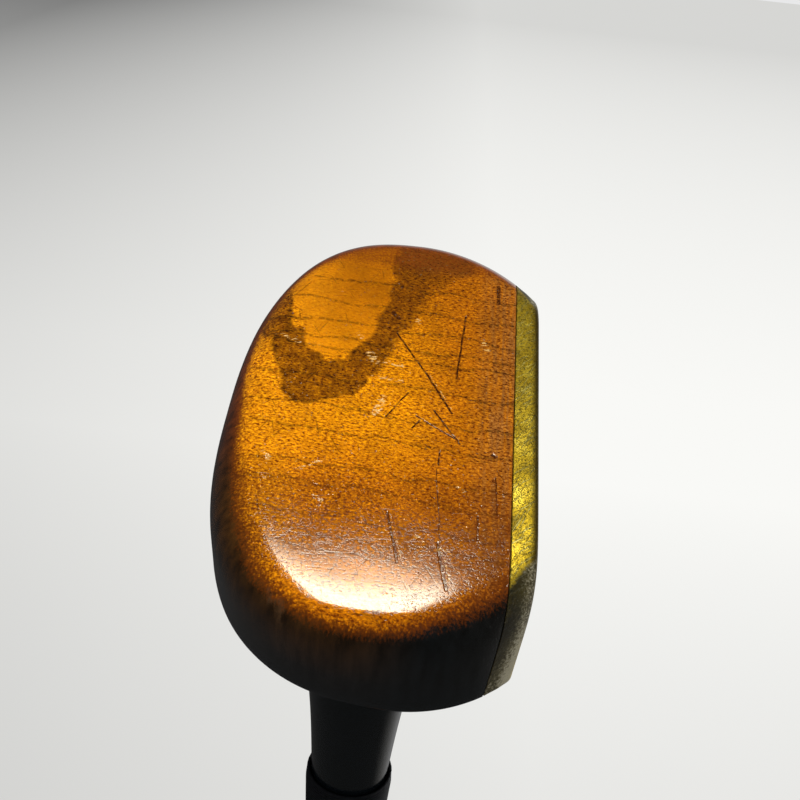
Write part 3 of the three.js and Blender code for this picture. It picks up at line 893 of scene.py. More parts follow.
def listing_wrap():
    """The cloth sleeve under the leather, as a thin wall."""
    end = GRIP_END - LISTING_END_MARGIN
    steps = round((end - GRIP_START) / SHAFT_RING_STEP)
    heights = [ramp(GRIP_START, end, k / steps) for k in range(steps + 1)]
    outer = [(listing_radius(height), height) for height in heights]
    inner = [(shaft_radius(height) + SEAT_GAP, height) for height in reversed(heights)]
    turns = np.linspace(0, FULL_TURN, SHAFT_POINTS, endpoint=False)
    walls = outer + inner
    places = [round_axis(radius, turn, height) for radius, height in walls for turn in turns]
    faces = ring_quads(len(walls), SHAFT_POINTS, joined=True)
    listing = mesh_piece("listing_wrap", places, faces)
    return smoothed(combined(listing, tack_holes(), "DIFFERENCE"))


def leather_wrap():
    """One strip wound from the butt, its edges soft, cut to a taper at both ends so the grip ends square."""
    pitch = LEATHER_WIDTH + LEATHER_SEAM
    first_edge = GRIP_START + LEATHER_LEAST_WIDTH
    last_edge = GRIP_END + LEATHER_WIDTH - LEATHER_LEAST_WIDTH
    steps = round(LEATHER_STEPS_PER_TURN * (last_edge - first_edge) / pitch)
    turns = np.linspace(0, FULL_TURN, LEATHER_SECTION_POINTS, endpoint=False)
    across = signed_power(np.cos(turns), 2 / LEATHER_EDGE_POWER)
    upward = signed_power(np.sin(turns), 2 / LEATHER_CROWN_POWER)
    rings = []
    for i in range(steps + 1):
        edge = ramp(first_edge, last_edge, i / steps)
        turn = FULL_TURN * (edge - GRIP_START) / pitch
        top = min(edge, GRIP_END)
        foot = max(edge - LEATHER_WIDTH, GRIP_START)
        ring = []
        for side, rise in zip(across, upward):
            height = ramp(foot, top, (1 + side) / 2)
            radius = leather_inner_radius(height) + leather_thickness(height) * (1 + rise) / 2
            ring.append(round_axis(radius, turn, height))
        rings.append(ring)
    leather = lofted("leather_wrap", rings)
    sides = leather.data.attributes.new("edge_share", "FLOAT", "POINT")
    sides.data.foreach_set("value", np.tile(np.abs(across), steps + 1).astype(np.float32))
    return smoothed(combined(leather, tack_holes(), "DIFFERENCE"), LEATHER_SHARP_ANGLE)


# Whippings

def neck_carrier(height):
    reach = CROWN_HEIGHT - height
    if reach < NECK_LENGTH:
        return neck_radius(reach)
    share = smooth((reach - NECK_LENGTH - THREAD_RADIUS - SEAT_GAP) / WHIPPING_STEP_LENGTH)
    return ramp(neck_radius(NECK_LENGTH), shaft_radius(height), share)


def grip_carrier(height):
    share = smooth((height - GRIP_END - THREAD_RADIUS - SEAT_GAP) / WHIPPING_STEP_LENGTH)
    return ramp(leather_outer_radius(min(height, GRIP_END)), shaft_radius(height), share)


def wound_thread(name, start_height, length, carrier, climb, material):
    """A fine thread wound close over a carrier, swelling to the whipping's full thickness."""
    steps = round(length / FINE_THREAD_PITCH * FINE_STEPS_PER_TURN)
    path = []
    for i in range(steps + 1):
        turn = FULL_TURN * i / FINE_STEPS_PER_TURN
        walked = length * i / steps
        height = start_height + climb * walked
        edge = min(walked, length - walked)
        build_up = WHIPPING_SWELL * smooth(edge / WHIPPING_STEP_LENGTH)
        radius = carrier(height) + SEAT_GAP + FINE_THREAD_DIAMETER / 2 + build_up
        path.append(round_axis(radius, turn, height))
    thread = bare_piece(name, path, [(i, i + 1) for i in range(steps)])
    values = {"Thread Diameter": FINE_THREAD_DIAMETER, "Sides": FINE_THREAD_SIDES, "Finish": material}
    run_tree(thread, thread_tree(), values)
    face_outwards(thread)
    return smoothed(thread, THREAD_SHARP_ANGLE)


# Marks and colours

# On the sole, in mm across and along from the head's middle: start, end and half width of each stroke
SCRATCHES = [
    ((-2.5, 18.4), (4.5, 7.2), 0.3),
    ((4.5, 7.2), (10.5, -3.5), 0.34),
    ((6.9, -3.3), (12.5, -11.4), 0.27),
    ((3.4, -5.2), (12.1, -10.6), 0.22),
    ((1.3, 0.9), (-2.5, -6.2), 0.26),
    ((11.9, 26.1), (10.8, 6.5), 0.32),
    ((4.1, -6.5), (2.9, -8.6), 0.3),
    ((8.7, -13.8), (8.6, -17.4), 0.24),
    ((0, -30.2), (2.8, -40.9), 0.34),
    ((9.6, -35.8), (11.8, -45.5), 0.42),
    ((8.3, -18.7), (10.1, -35.8), 0.15),
    ((16.6, -28.8), (16.9, -34.1), 0.28),
    ((19.7, -19), (20.1, -28), 0.2),
    ((-3.8, 24.8), (-2.6, 23.2), 0.7),
    ((22.2, -42.6), (21.5, -45), 0.45),
    ((18.7, 37.5), (18.9, 32), 0.6),
    ((18.9, -13.3), (19.5, -13.7), 0.6),
]
SCRATCH_LIPS = [
    ((10.4, -36.3), (12.3, -44), 0.3),
    ((5, 7.4), (10.9, -3.2), 0.16),
    ((0.6, -30.6), (3.3, -40), 0.16),
]
CHIPS = [
    ((-7.4, 11.2), (-6.2, 9.2), 1.2),
    ((-4, 9.2), (-0.6, 8.6), 0.7),
    ((-7.4, 4.6), (-0.4, 4.2), 0.6),
    ((-3.6, -1.4), (-4.6, -5.8), 1.2),
    ((1.4, 23.3), (2, 22.7), 0.8),
    ((-27.8, 14.6), (-22.4, 12.3), 0.6),
    ((-24.6, -19.4), (-23.6, -20.4), 0.9),
    ((-17.2, -22.2), (-13.6, -19.7), 0.5),
    ((16.2, 18), (17.2, 15.6), 0.9),
    ((-10.6, 16.6), (-9.6, 15.8), 0.7),
    ((-23.6, -25), (-22.9, -25.6), 0.7),
    ((6.1, -34.9), (6.9, -35.5), 0.8),
    ((10.2, -37.2), (11.6, -38.2), 1),
    ((12.7, -22.6), (13.6, -23.4), 0.7),
    ((-13.6, -28.4), (-11.8, -30), 0.8),
]
STAIN = [
    ((-29.2, 27), (-28, 16.5), 3.4),
    ((-23.6, 12), (-19.6, 1.6), 5),
    ((-19.2, 0.2), (-12.4, 3.4), 5.4),
    ((-8.2, 8), (-4.6, 22), 4.2),
    ((-3, 24), (1.5, 38), 4.9),
    ((2, 41), (4.5, 51), 8),
]
CLEAN_OVAL = [
    ((-15.7, 29), (-16, 52), 10.2),
    ((-14.8, 20), (-15.2, 24), 7.7),
    ((-16.4, 15), (-15, 16), 5.3),
]
TOE_DARK = [((3, 54), (2, 45), 8), ((11, 47), (10, 43), 5)]
HEEL_SCUFFS = [((-16.9, -50.3), (-15.8, -52.8), 1.1), ((-18.6, -48.6), (-18.2, -50.6), 0.7)]
STROKE_CORE_SHARE = 0.4

# Growth rings, in mm along from the head's middle
GROWTH_RINGS = [34.5, 27, 20.4, 14.8, 11.8, 3.5, -5, -11.6, -20.3, -25.1, -32.1, -36.2, -39.4]
RING_RISE = -0.06
RING_RISE_SPAN = 20
RING_DRIFT = 6
RING_HALF_WIDTH = 0.6
RING_CORE = 0.1

# How deep the rubbed edge reaches, as shares of its greatest depth by shares of the span
HALF_SPAN = 56
EDGE_DEPTH_TOP = 4
BACK_EDGE = [
    (0, 0.35), (0.16, 0.19), (0.277, 0.18), (0.375, 0.35), (0.446, 0.49),
    (0.527, 0.8), (0.66, 0.8), (0.8, 0.5), (0.875, 0.16), (1, 0.1),
]
HEEL_EDGE = [
    (0, 0.3), (0.352, 0.45), (0.377, 0.6), (0.43, 0.73), (0.482, 0.775), (0.512, 0.72),
    (0.541, 0.65), (0.571, 0.51), (0.6, 0.36), (0.684, 0.25), (0.75, 0.15), (1, 0.15),
]

# Where the head's colours change, in mm across, along, down or past an edge: the two ends of each change
AMBER_ENDS = (-50, 50)
YELLOW_ENDS = (-12, -25)
RED_ENDS = (-2, 12)
FACE_STREAK_ENDS = (12.5, 20)
HEEL_ENDS = (-36, -48)
HEEL_ROUND_ENDS = (-40, -47)
OPEN_PORE_ENDS = (-26, -40)
STAIN_SIDE_ENDS = (-8, 4)
STAIN_SOFT_STARTS = (-0.7, -2.6)
STAIN_SOFT_END = 0.2
STAIN_RIM_ENDS = (-1.7, -0.3)
OVAL_EDGE_ENDS = (-0.2, 0.7)
OVAL_FLECK_ENDS = (-1, 1.5)
WALL_ENDS = (-54, 36)
FORWARD_ENDS = (-30, -10)
HEEL_BROWN_ENDS = (10, -8)
BROWN_DEPTHS = (2, 17)
CROWN_DEPTHS = (13, 28)
SCUFF_DEPTHS = (4.5, 8.5)
EDGE_BROWN_STARTS = (-1.3, -1.6)
EDGE_BROWN_END = 0.2
DARK_STAIN_START = -1.1
DARK_STAIN_ENDS = (1.3, 1.9)
# Where the painted highlight brightens the brass colour, from the middle towards the heel
BRASS_HIGHLIGHT_ENDS = (5, -42)
BRASS_RIM_ENDS = (26.4, 27.3)
BRASS_WALL_DEPTHS = (0.7, 1.7)
FACE_RIM_ENDS = (27.4, 27.9)
PLATE_ENDS = (22.3, 27.5)
# Where the brass walls are painted paler, as a reflection of the pale surroundings: towards the face and
# lower down
REFLECTION_OUT_ENDS = (23.2, 26.5)
REFLECTION_DEPTHS = (4, 22)

# How far lines and edges wander from a ruled one, in mm
STAIN_WANDER = 1.6
MARK_WANDER = 0.5
RAGGED_REACHES = (0.5, 0.85)

# How marks that run one way lie: turn, length and width in mm
FLECK_LAY = (-6 * DEGREE, 1.5, 0.8)
GRIT_LAY = (8 * DEGREE, 1.5, 0.55)
DENT_LAY = (4 * DEGREE, 1.3, 0.9)

# Hair scratches: turn in degrees, length and width in mm
WOOD_HAIRS = [(turn, 8, 0.45) for turn in (62, 104, 121, 4)]
BRASS_HAIRS = [(66, 5, 0.18), (40, 5, 0.2)]

# How deep the surfaces' relief is
VARNISH_RELIEF = 0.03 * MM
BRASS_RELIEF = 0.06 * MM
SCREW_RELIEF = 0.03 * MM
HICKORY_RELIEF = 0.05 * MM
THREAD_RELIEF = 0.05 * MM
LEATHER_RELIEF = 0.12 * MM
LISTING_RELIEF = 0.15 * MM
LEAD_RELIEF = 0.2 * MM

# Where a noise mostly lies, between its darks and its lights
NOISE_SPAN = (0.3, 0.7)

# Colours by their places on a ramp
AMBER_STOPS = [(0, "#D87A04"), (0.26, "#DC7E04"), (0.42, "#F09404"), (0.62, "#E48A02"), (0.8, "#BC6C00")]
FLECK_STOPS = [(0.36, "#5E4430"), (0.47, "#B4AEA6"), (0.56, "#C0C6CA"), (0.66, "#E8F8FF")]
# Wall colour along the head: the heel end's bluish near black is partly painted shade, and the browns
# towards the toe are the dark brown stain
WALL_STAIN_AND_SHADE_STOPS = [(0, "#0F1214"), (0.16, "#17120D"), (0.34, "#44200A"), (0.9, "#8C400E")]
# Brass wall colour from near black tarnish to grey beige; the paler end is painted reflection
PATINA_AND_REFLECTION_STOPS = [(0.34, "#12140E"), (0.48, "#34321F"), (0.6, "#746C50"), (0.74, "#CEC6A8")]
HICKORY_STOPS = [(0.3, "#6A3E1C"), (0.48, "#8E5A2C"), (0.56, "#7A4A22"), (0.72, "#A06C38")]


# Materials

# Kinds of node with their settings. Inputs go by place: NOISE takes place, scale, detail and roughness,
# RANGE a value, the two ends that it runs between and what they become, OVER a share, what lies
# below and what lies above, and WAY kinds are for vectors.
NOISE = "ShaderNodeTexNoise"
RANGE = "ShaderNodeMapRange"
SOFT_RANGE = (RANGE, {"interpolation_type": "SMOOTHSTEP"})
COLOURS = "ShaderNodeValToRGB"
MIX = "ShaderNodeMix"
OVER = (MIX, {"data_type": "RGBA"})
MAPPING = "ShaderNodeMapping"
BUMP = "ShaderNodeBump"
SPLIT = "ShaderNodeSeparateXYZ"
ATTRIBUTE = "ShaderNodeAttribute"
PLUS, MINUS, TIMES, TIMES_PLUS, HIGHER, LOWER, SIZE, SINE = [
    ("ShaderNodeMath", {"operation": name})
    for name in ("ADD", "SUBTRACT", "MULTIPLY", "MULTIPLY_ADD", "MAXIMUM", "MINIMUM", "ABSOLUTE", "SINE")
]
WAY_MINUS, WAY_TIMES, WAY_TIMES_PLUS, WAY_SCALED, WAY_DOT, WAY_GAP = [
    ("ShaderNodeVectorMath", {"operation": name})
    for name in ("SUBTRACT", "MULTIPLY", "MULTIPLY_ADD", "SCALE", "DOT_PRODUCT", "DISTANCE")
]


def emptied(owner):
    """Clears the owner's node tree and gives back the function that adds nodes to it."""
    owner.use_nodes = True
    owner.node_tree.nodes.clear()
    return partial(add_node, owner.node_tree)


def finish(name, surface_of):
    """A material whose Principled shader takes the inputs that surface_of works out."""
    material = bpy.data.materials.new(name)
    add = emptied(material)
    surface = add("ShaderNodeBsdfPrincipled", surface_of(add))
    add("ShaderNodeOutputMaterial", (surface,))
    return material


def head_place(add):
    """Millimetres in the head's plan: X from the middle to the face, Y to the toe, Z up out of the sole."""
    lift = CLUB_LENGTH / MM
    shift = (
        -HEAD_MIDDLE_X / MM,
        -lift * math.sin(SHAFT_TILT) - HEAD_MIDDLE_Y / MM,
        -lift * math.cos(SHAFT_TILT),
    )
    here = add("ShaderNodeTexCoord")
    return add(MAPPING, (here.outputs["Object"], shift, (-SHAFT_TILT, 0, 0), (1 / MM,) * 3))


def millimetres(add, scale=(1, 1, 1)):
    """Object coordinates in millimetres, stretched by a scale."""
    here = add("ShaderNodeTexCoord")
    return add(MAPPING, {"Vector": here.outputs["Object"], "Scale": tuple(s / MM for s in scale)})


def folded(add, kind, parts):
    """Takes the parts into one value, each as soon as it is made, so that few values wait at a time."""
    result = None
    for part in parts:
        result = part if result is None else add(kind, (result, part))
    return result


def stroke_gap(add, place, start, end):
    """How far a place lies from a straight stroke in the plan between two (across, along) points, in mm."""
    flat = add(WAY_TIMES, (place, (1, 1, 0)))
    way = (end[0] - start[0], end[1] - start[1], 0)
    from_start = add(WAY_MINUS, (flat, (*start, 0)))
    along = add(WAY_DOT, (from_start, way))
    walked = add(TIMES, (along, 1 / (way[0] ** 2 + way[1] ** 2)))
    begun = add(HIGHER, (walked, 0))
    share = add(LOWER, (begun, 1))
    nearest = add(WAY_SCALED, (way, share))
    return add(WAY_GAP, (from_start, nearest))


def stroke_marks(add, place, marks):
    """1 on the strokes and 0 off them, each stroke with its own half width in mm."""
    def mark(start, end, half_width):
        gap = stroke_gap(add, place, start, end)
        return add(SOFT_RANGE, (gap, STROKE_CORE_SHARE * half_width, half_width, 1, 0))

    return folded(add, HIGHER, (mark(*stroke) for stroke in marks))


def edge_gap(add, place, marks):
    """How far a place lies outside a patch of strokes with round ends, in mm; less than zero inside it."""
    def outside(start, end, half_width):
        gap = stroke_gap(add, place, start, end)
        return add(MINUS, (gap, half_width))

    return folded(add, LOWER, (outside(*stroke) for stroke in marks))


def wandering(add, place, scale, reach):
    """The place moved about in the plan by up to half the reach, so that lines and edges aren't ruled."""
    drift = add(NOISE, (place, scale, 2, 0.5))
    centred = add(WAY_MINUS, (drift.outputs["Color"], (0.5, 0.5, 0.5)))
    return add(WAY_TIMES_PLUS, (centred, (reach, reach, 0), place))


def lain(add, place, turn, length, width):
    """The place turned in the plan and measured in lengths and widths, for marks that run one way."""
    sizes = (length, width, width)
    return add(MAPPING, {"Vector": place, "Rotation": (0, 0, turn), "Scale": sizes}, vector_type="TEXTURE")


def rubbed_edge_depth(add, across, along):
    """How far down the rolled edge the rubbed wood reaches, in mm, along the back and across the heel."""
    along_share = add(RANGE, (along, -HALF_SPAN, HALF_SPAN, 0, 1))
    across_share = add(RANGE, (across, -HALF_SPAN, HALF_SPAN, 0, 1))
    back = add("ShaderNodeFloatCurve", {"Value": along_share}, curve=BACK_EDGE)
    heel = add("ShaderNodeFloatCurve", {"Value": across_share}, curve=HEEL_EDGE)
    heel_share = add(SOFT_RANGE, (along, *HEEL_ROUND_ENDS, 0, 1))
    share = add(MIX, (heel_share, back, heel))
    return add(TIMES, (share, EDGE_DEPTH_TOP))


def rubbed_colour(add, place, across, along):
    """Amber in its several tones: yellow at the back, brown at the toe, redder to the heel and the face."""
    length_share = add(RANGE, (along, *AMBER_ENDS, 0, 1))
    by_length = add(COLOURS, (length_share,), AMBER_STOPS)
    back_share = add(SOFT_RANGE, (across, *YELLOW_ENDS, 0, 0.85))
    yellower = add(OVER, (back_share, by_length, "#F09408"))
    front_share = add(SOFT_RANGE, (across, *RED_ENDS, 0, 0.8))
    redder = add(OVER, (front_share, yellower, "#B66404"))
    streak_place = add(MAPPING, {"Vector": place, "Scale": (1, 0.07, 0.3)})
    streaks = add(NOISE, (streak_place, 1.1, 4, 0.6))
    streak_share = add(RANGE, (streaks, 0.4, 0.6, 0.25, 1))
    face_share = add(SOFT_RANGE, (across, *FACE_STREAK_ENDS, 0, 1))
    face_streaks = add(TIMES, (streak_share, face_share))
    return add(OVER, (face_streaks, redder, "#9C5E22"))


def stained_colour(add, place, across, clean):
    """A dark ring where something wet stood round a clean oval, speckled and darkest along its rim."""
    rough_place = wandering(add, place, 0.28, STAIN_WANDER)
    clouds = add(NOISE, (place, 0.45, 6, 0.78))
    outside = edge_gap(add, rough_place, STAIN)
    inside = edge_gap(add, wandering(add, place, 0.16, STAIN_WANDER), CLEAN_OVAL)
    soft_outer = add(RANGE, (across, *STAIN_SIDE_ENDS, *STAIN_SOFT_STARTS))
    outer_band = add(RANGE, (outside, soft_outer, STAIN_SOFT_END, 0.95, 0))
    inner_band = add(RANGE, (inside, *OVAL_EDGE_ENDS, 0, 1))
    band = add(TIMES, (outer_band, inner_band))
    cloud_tone = add(RANGE, (clouds, 0.36, 0.56, 0.55, 1))
    band_share = add(TIMES, (band, cloud_tone))
    browned = add(OVER, (band_share, clean, "#763E00"))
    near_rim = add(RANGE, (outside, *STAIN_RIM_ENDS, 0, 1))
    kept_in = add(TIMES, (near_rim, band))
    broken = add(RANGE, (clouds, 0.46, 0.57, 0, 0.85))
    rim_share = add(TIMES, (kept_in, broken))
    ringed = add(OVER, (rim_share, browned, "#4E2800"))
    toe = stroke_marks(add, rough_place, TOE_DARK)
    toe_share = add(TIMES, (toe, cloud_tone))
    return add(OVER, (toe_share, ringed, "#6E3E0E"))


def wood_flecks(add, place):
    """The wood's short dark flecks, about 0.4 mm across, fewer inside the clean oval by the toe."""
    fleck_place = lain(add, place, *FLECK_LAY)
    flecks = add(NOISE, (fleck_place, 1.8, 2, 0.75))
    off_oval = edge_gap(add, place, CLEAN_OVAL)
    strength = add(RANGE, (off_oval, *OVAL_FLECK_ENDS, 0.45, 1))
    return add(MIX, (strength, 0.51, flecks))


def growth_rings(add, place, across, along):
    """Thin broken lines where the growth rings end, crossing the sole on a slant."""
    drift = add(NOISE, (place, 0.09, 3, 0.5))
    slant = add(TIMES_PLUS, (across, -RING_RISE, along))
    level = add(TIMES_PLUS, (drift, RING_DRIFT, slant))

    def ring_gap(ring):
        off = add(MINUS, (level, ring + RING_DRIFT / 2 + RING_RISE_SPAN * RING_RISE))
        return add(SIZE, (off,))

    nearest = folded(add, LOWER, (ring_gap(ring) for ring in GROWTH_RINGS))
    line = add(RANGE, (nearest, RING_HALF_WIDTH, RING_CORE, 0, 1))
    broken = add(NOISE, (place, 1.1, 3, 0.7))
    broken_share = add(RANGE, (broken, 0.42, 0.54, 0.05, 1))
    return add(TIMES, (line, broken_share))


def hair_marks(add, place, ways, low, high):
    """Hair scratches from sand and grit: 1 on them and 0 off. Each way is a turn, a length and a width."""
    def marks(turn, length, width):
        lines = add(NOISE, (lain(add, place, turn * DEGREE, length, width), 0.8, 2, 0.5))
        return add(RANGE, (lines, low, high, 0, 1))

    return folded(add, HIGHER, (marks(*way) for way in ways))


def worn_varnish_and_painted_shade(add):
    """Varnished persimmon, stained dark, rubbed back to amber where it has slid on the ground; the near
    black at the heel end is partly painted shade.
    """
    place = head_place(add)
    across, along, up = add(SPLIT, (place,)).outputs
    depth = add(TIMES, (up, -1))
    flecks = wood_flecks(add, place)

    # The rubbed wood, its figure and its marks
    clean = rubbed_colour(add, place, across, along)
    stained = stained_colour(add, place, across, clean)
    fleck_colour = add(COLOURS, (flecks,), FLECK_STOPS)
    doubled = add(WAY_SCALED, (fleck_colour, 2))
    blotches = add(NOISE, (place, 0.14, 5, 0.65))
    blotch_tone = add(RANGE, (blotches, *NOISE_SPAN, 0.76, 1.24))
    rings = growth_rings(add, place, across, along)
    ring_tone = add(TIMES_PLUS, (rings, -0.58, 1))
    hairs = hair_marks(add, place, WOOD_HAIRS, 0.66, 0.74)
    hair_tone = add(TIMES_PLUS, (hairs, -0.5, 1))
    tone = add(TIMES, (blotch_tone, ring_tone))
    full_tone = add(TIMES, (tone, hair_tone))
    flecked = add(WAY_TIMES, (stained, doubled))
    figured = add(WAY_SCALED, (flecked, full_tone))
    mark_place = wandering(add, place, 0.25, MARK_WANDER)
    strokes = stroke_marks(add, mark_place, SCRATCHES)
    bite = add(NOISE, (place, 0.7, 3, 0.7))
    bite_share = add(RANGE, (bite, 0.38, 0.52, 0.5, 1))
    scratches = add(TIMES, (strokes, bite_share))
    scratched = add(OVER, (scratches, figured, "#461E02"))
    lips = stroke_marks(add, mark_place, SCRATCH_LIPS)
    chips = stroke_marks(add, place, CHIPS)
    grit_place = lain(add, place, *GRIT_LAY)
    grit = add(NOISE, (grit_place, 1, 2, 0.6))
    flaked = add(RANGE, (grit, 0.52, 0.6, 0, 1))
    chip_share = add(TIMES, (chips, flaked))
    lip_share = add(TIMES, (lips, flaked))
    pale_share = add(HIGHER, (chip_share, lip_share))
    nicked = add(OVER, (pale_share, scratched, "#F4C06C"))

    # Dark stain past the rubbed edge: brown at the back, near black at the heel, on the crown and the neck.
    # The bluish near black at the heel end is partly painted shade over a dark brown stain.
    wall_length = add(RANGE, (along, *WALL_ENDS, 0, 1))
    wall_stain_and_shade = add(COLOURS, (wall_length,), WALL_STAIN_AND_SHADE_STOPS)
    wall_place = add(MAPPING, {"Vector": place, "Scale": (1, 1, 0.1)})
    streaks = add(NOISE, (wall_place, 0.5, 5, 0.62))
    wall_tone = add(RANGE, (streaks, 0.34, 0.66, 0.4, 1.6))
    heel_brown = add(SOFT_RANGE, (across, *HEEL_BROWN_ENDS, 0, 0.9))
    thinned = add(RANGE, (depth, *BROWN_DEPTHS, 1, 0.1))
    brown_share = add(TIMES, (heel_brown, thinned))
    browned = add(OVER, (brown_share, wall_stain_and_shade, "#40260A"))
    forward = add(RANGE, (along, *FORWARD_ENDS, 0, 1))
    wall_base = add(OVER, (forward, browned, wall_stain_and_shade))
    wall = add(WAY_SCALED, (wall_base, wall_tone))
    down = add(SOFT_RANGE, (depth, *CROWN_DEPTHS, 0, 1))
    crown = add(OVER, (down, wall, "#0E1215"))
    scuffs = stroke_marks(add, place, HEEL_SCUFFS)
    scuff_depth = add(SOFT_RANGE, (depth, *SCUFF_DEPTHS, 0.5, 0))
    scuff_bite = add(RANGE, (streaks, 0.42, 0.6, 0, 1))
    scuffed_down = add(TIMES, (scuffs, scuff_depth))
    scuff_share = add(TIMES, (scuffed_down, scuff_bite))
    scuffed = add(OVER, (scuff_share, crown, "#6E5036"))

    # From one to the other: a ragged edge with streaks down the wall
    drag_place = add(MAPPING, {"Vector": place, "Scale": (1, 1, 0.12)})
    drags = add(NOISE, (drag_place, 2.2, 2, 0.6))
    raggedness = add(RANGE, (drags, *NOISE_SPAN, -1, 1))
    heel_share = add(SOFT_RANGE, (along, *HEEL_ENDS, 0, 1))
    ragged_reach = add(RANGE, (heel_share, 0, 1, *RAGGED_REACHES))
    ragged = add(TIMES, (raggedness, ragged_reach))
    edge_depth = rubbed_edge_depth(add, across, along)
    past_edge = add(MINUS, (depth, edge_depth))
    past_ragged = add(PLUS, (past_edge, ragged))
    edge_start = add(RANGE, (heel_share, 0, 1, *EDGE_BROWN_STARTS))
    edge_share = add(SOFT_RANGE, (past_ragged, edge_start, EDGE_BROWN_END, 0, 1))
    edge_brown = add(OVER, (edge_share, nicked, "#803C06"))
    dark_end = add(RANGE, (heel_share, 0, 1, *DARK_STAIN_ENDS))
    dark_share = add(SOFT_RANGE, (past_ragged, DARK_STAIN_START, dark_end, 0, 1))
    colour = add(OVER, (dark_share, edge_brown, scuffed))

    # Surface: a hard gloss skin, its flecks barely open, pitted by grit and cut by the scratches
    roughness = add(RANGE, (blotches, *NOISE_SPAN, 0.07, 0.11))
    pore_depth = add(RANGE, (along, *OPEN_PORE_ENDS, 0.1, 0.3))
    pores = add(RANGE, (flecks, 0.3, 0.48, 0, pore_depth))
    dents = add(NOISE, (lain(add, place, *DENT_LAY), 1.9, 1, 0.5))
    pitted = add(RANGE, (dents, 0.69, 0.78, 0, -0.8))
    with_pits = add(PLUS, (pores, pitted))
    shallow = add(TIMES, (pale_share, 0.35))
    cuts = add(HIGHER, (scratches, shallow))
    deeper = add(TIMES_PLUS, (cuts, -1.6, with_pits))
    relief_height = add(TIMES_PLUS, (hairs, -0.2, deeper))
    relief = add(BUMP, {"Height": relief_height, "Strength": 1, "Distance": VARNISH_RELIEF})
    return {
        "Base Color": colour,
        "Roughness": roughness,
        "IOR": 1.5,
        "Specular Tint": "#FFEFB4",
        "Coat Weight": 1,
        "Coat Roughness": 0.05,
        "Coat Normal": relief,
        "Normal": relief,
    }


def tarnished_brass_and_painted_light(add):
    """Rolled brass, filed by hand and long tarnished: olive gold on the sole, brightened towards the heel by
    a painted highlight, dark patina down the walls, paler towards the face and lower down by painted
    reflection.
    """
    place = head_place(add)
    across, along, up = add(SPLIT, (place,)).outputs
    depth = add(TIMES, (up, -1))
    clouds = add(NOISE, (place, 0.16, 6, 0.7))
    colour = add(COLOURS, (clouds,), [(0.32, "#6C580C"), (0.5, "#9A8018"), (0.68, "#C2AA38")])
    scratches = hair_marks(add, place, BRASS_HAIRS, 0.6, 0.68)
    pits = add(NOISE, (place, 1.8, 3, 0.8))
    # Colour gain that grows towards the heel, where the lamp's reflection falls: painted highlight
    gain_and_heel_highlight = add(RANGE, (along, *BRASS_HIGHLIGHT_ENDS, 1.7, 2.5))
    brass_with_painted_highlight = add(WAY_SCALED, (colour, gain_and_heel_highlight))
    pit_share = add(RANGE, (pits, 0.49, 0.62, 0, 0.9))
    pitted = add(OVER, (pit_share, brass_with_painted_highlight, "#4E4210"))
    bright = add(TIMES, (scratches, 0.55))
    rubbed = add(OVER, (bright, pitted, "#F4EA8A"))
    rim = add(RANGE, (across, *BRASS_RIM_ENDS, 0, 0.9))
    scratched = add(OVER, (rim, rubbed, "#4A3C0C"))

    # Patina down the walls: near black by the seam, grey brown towards the face. The grey brown towards the
    # face and lower down is painted reflection of the pale surroundings over the tarnish.
    outwards = add(RANGE, (across, *REFLECTION_OUT_ENDS, -0.2, 0.16))
    lower = add(RANGE, (depth, *REFLECTION_DEPTHS, -0.08, 0.26))
    painted_reflection_lift = add(PLUS, (outwards, lower))
    patina_and_reflection_tone = add(PLUS, (pits, painted_reflection_lift))
    patina_and_reflection = add(COLOURS, (patina_and_reflection_tone,), PATINA_AND_REFLECTION_STOPS)
    patchy = add(RANGE, (clouds, *NOISE_SPAN, -0.6, 0.6))
    outer = add(RANGE, (across, *PLATE_ENDS, 1, 2.6))
    down = add(TIMES_PLUS, (depth, outer, patchy))
    wall_share = add(SOFT_RANGE, (down, *BRASS_WALL_DEPTHS, 0, 0.95))
    from_front = add(TIMES_PLUS, (depth, math.tan(FACE_LOFT), across))
    face_share = add(RANGE, (from_front, *FACE_RIM_ENDS, 1, 0.25))
    patina_and_reflection_share = add(TIMES, (wall_share, face_share))
    aged = add(OVER, (patina_and_reflection_share, scratched, patina_and_reflection))
    metal_share = add(RANGE, (patina_and_reflection_share, 0, 1, 0.85, 0.35))
    roughness = add(RANGE, (clouds, *NOISE_SPAN, 0.5, 0.36))
    height = add(TIMES_PLUS, (scratches, -1.2, pits))
    relief = add(BUMP, {"Height": height, "Strength": 1, "Distance": BRASS_RELIEF})
    return {"Base Color": aged, "Metallic": metal_share, "Roughness": roughness, "Normal": relief}


def screw_brass(add):
    """Turned brass screw and tack heads, rubbed bright in places and dull between."""
    clouds = add(NOISE, (millimetres(add), 0.5, 5, 0.6))
    colour = add(COLOURS, (clouds,), [(0.3, "#8C7428"), (0.55, "#BFA03A"), (0.75, "#D8BE5A")])
    roughness = add(RANGE, (clouds, *NOISE_SPAN, 0.46, 0.32))
    relief = add(BUMP, {"Height": clouds, "Strength": 0.3, "Distance": SCREW_RELIEF})
    return {"Base Color": colour, "Metallic": 0.9, "Roughness": roughness, "Normal": relief}


def oiled_hickory(add):
    """Split hickory, straight grained and oiled brown: long open pores in narrow growth bands."""
    bands = add(NOISE, (millimetres(add, (0.32, 0.32, 0.006)), 1, 3, 0.5))
    pores = add(NOISE, (millimetres(add, (2.6, 2.6, 0.09)), 1, 4, 0.7))
    colour = add(COLOURS, (bands,), HICKORY_STOPS)
    tone = add(RANGE, (pores, 0.32, 0.62, 0.6, 1.15))
    grained = add(WAY_SCALED, (colour, tone))
    roughness = add(RANGE, (pores, *NOISE_SPAN, 0.5, 0.34))
    relief = add(BUMP, {"Height": pores, "Strength": 0.4, "Distance": HICKORY_RELIEF})
    return {"Base Color": grained, "Roughness": roughness, "IOR": 1.5, "Normal": relief}


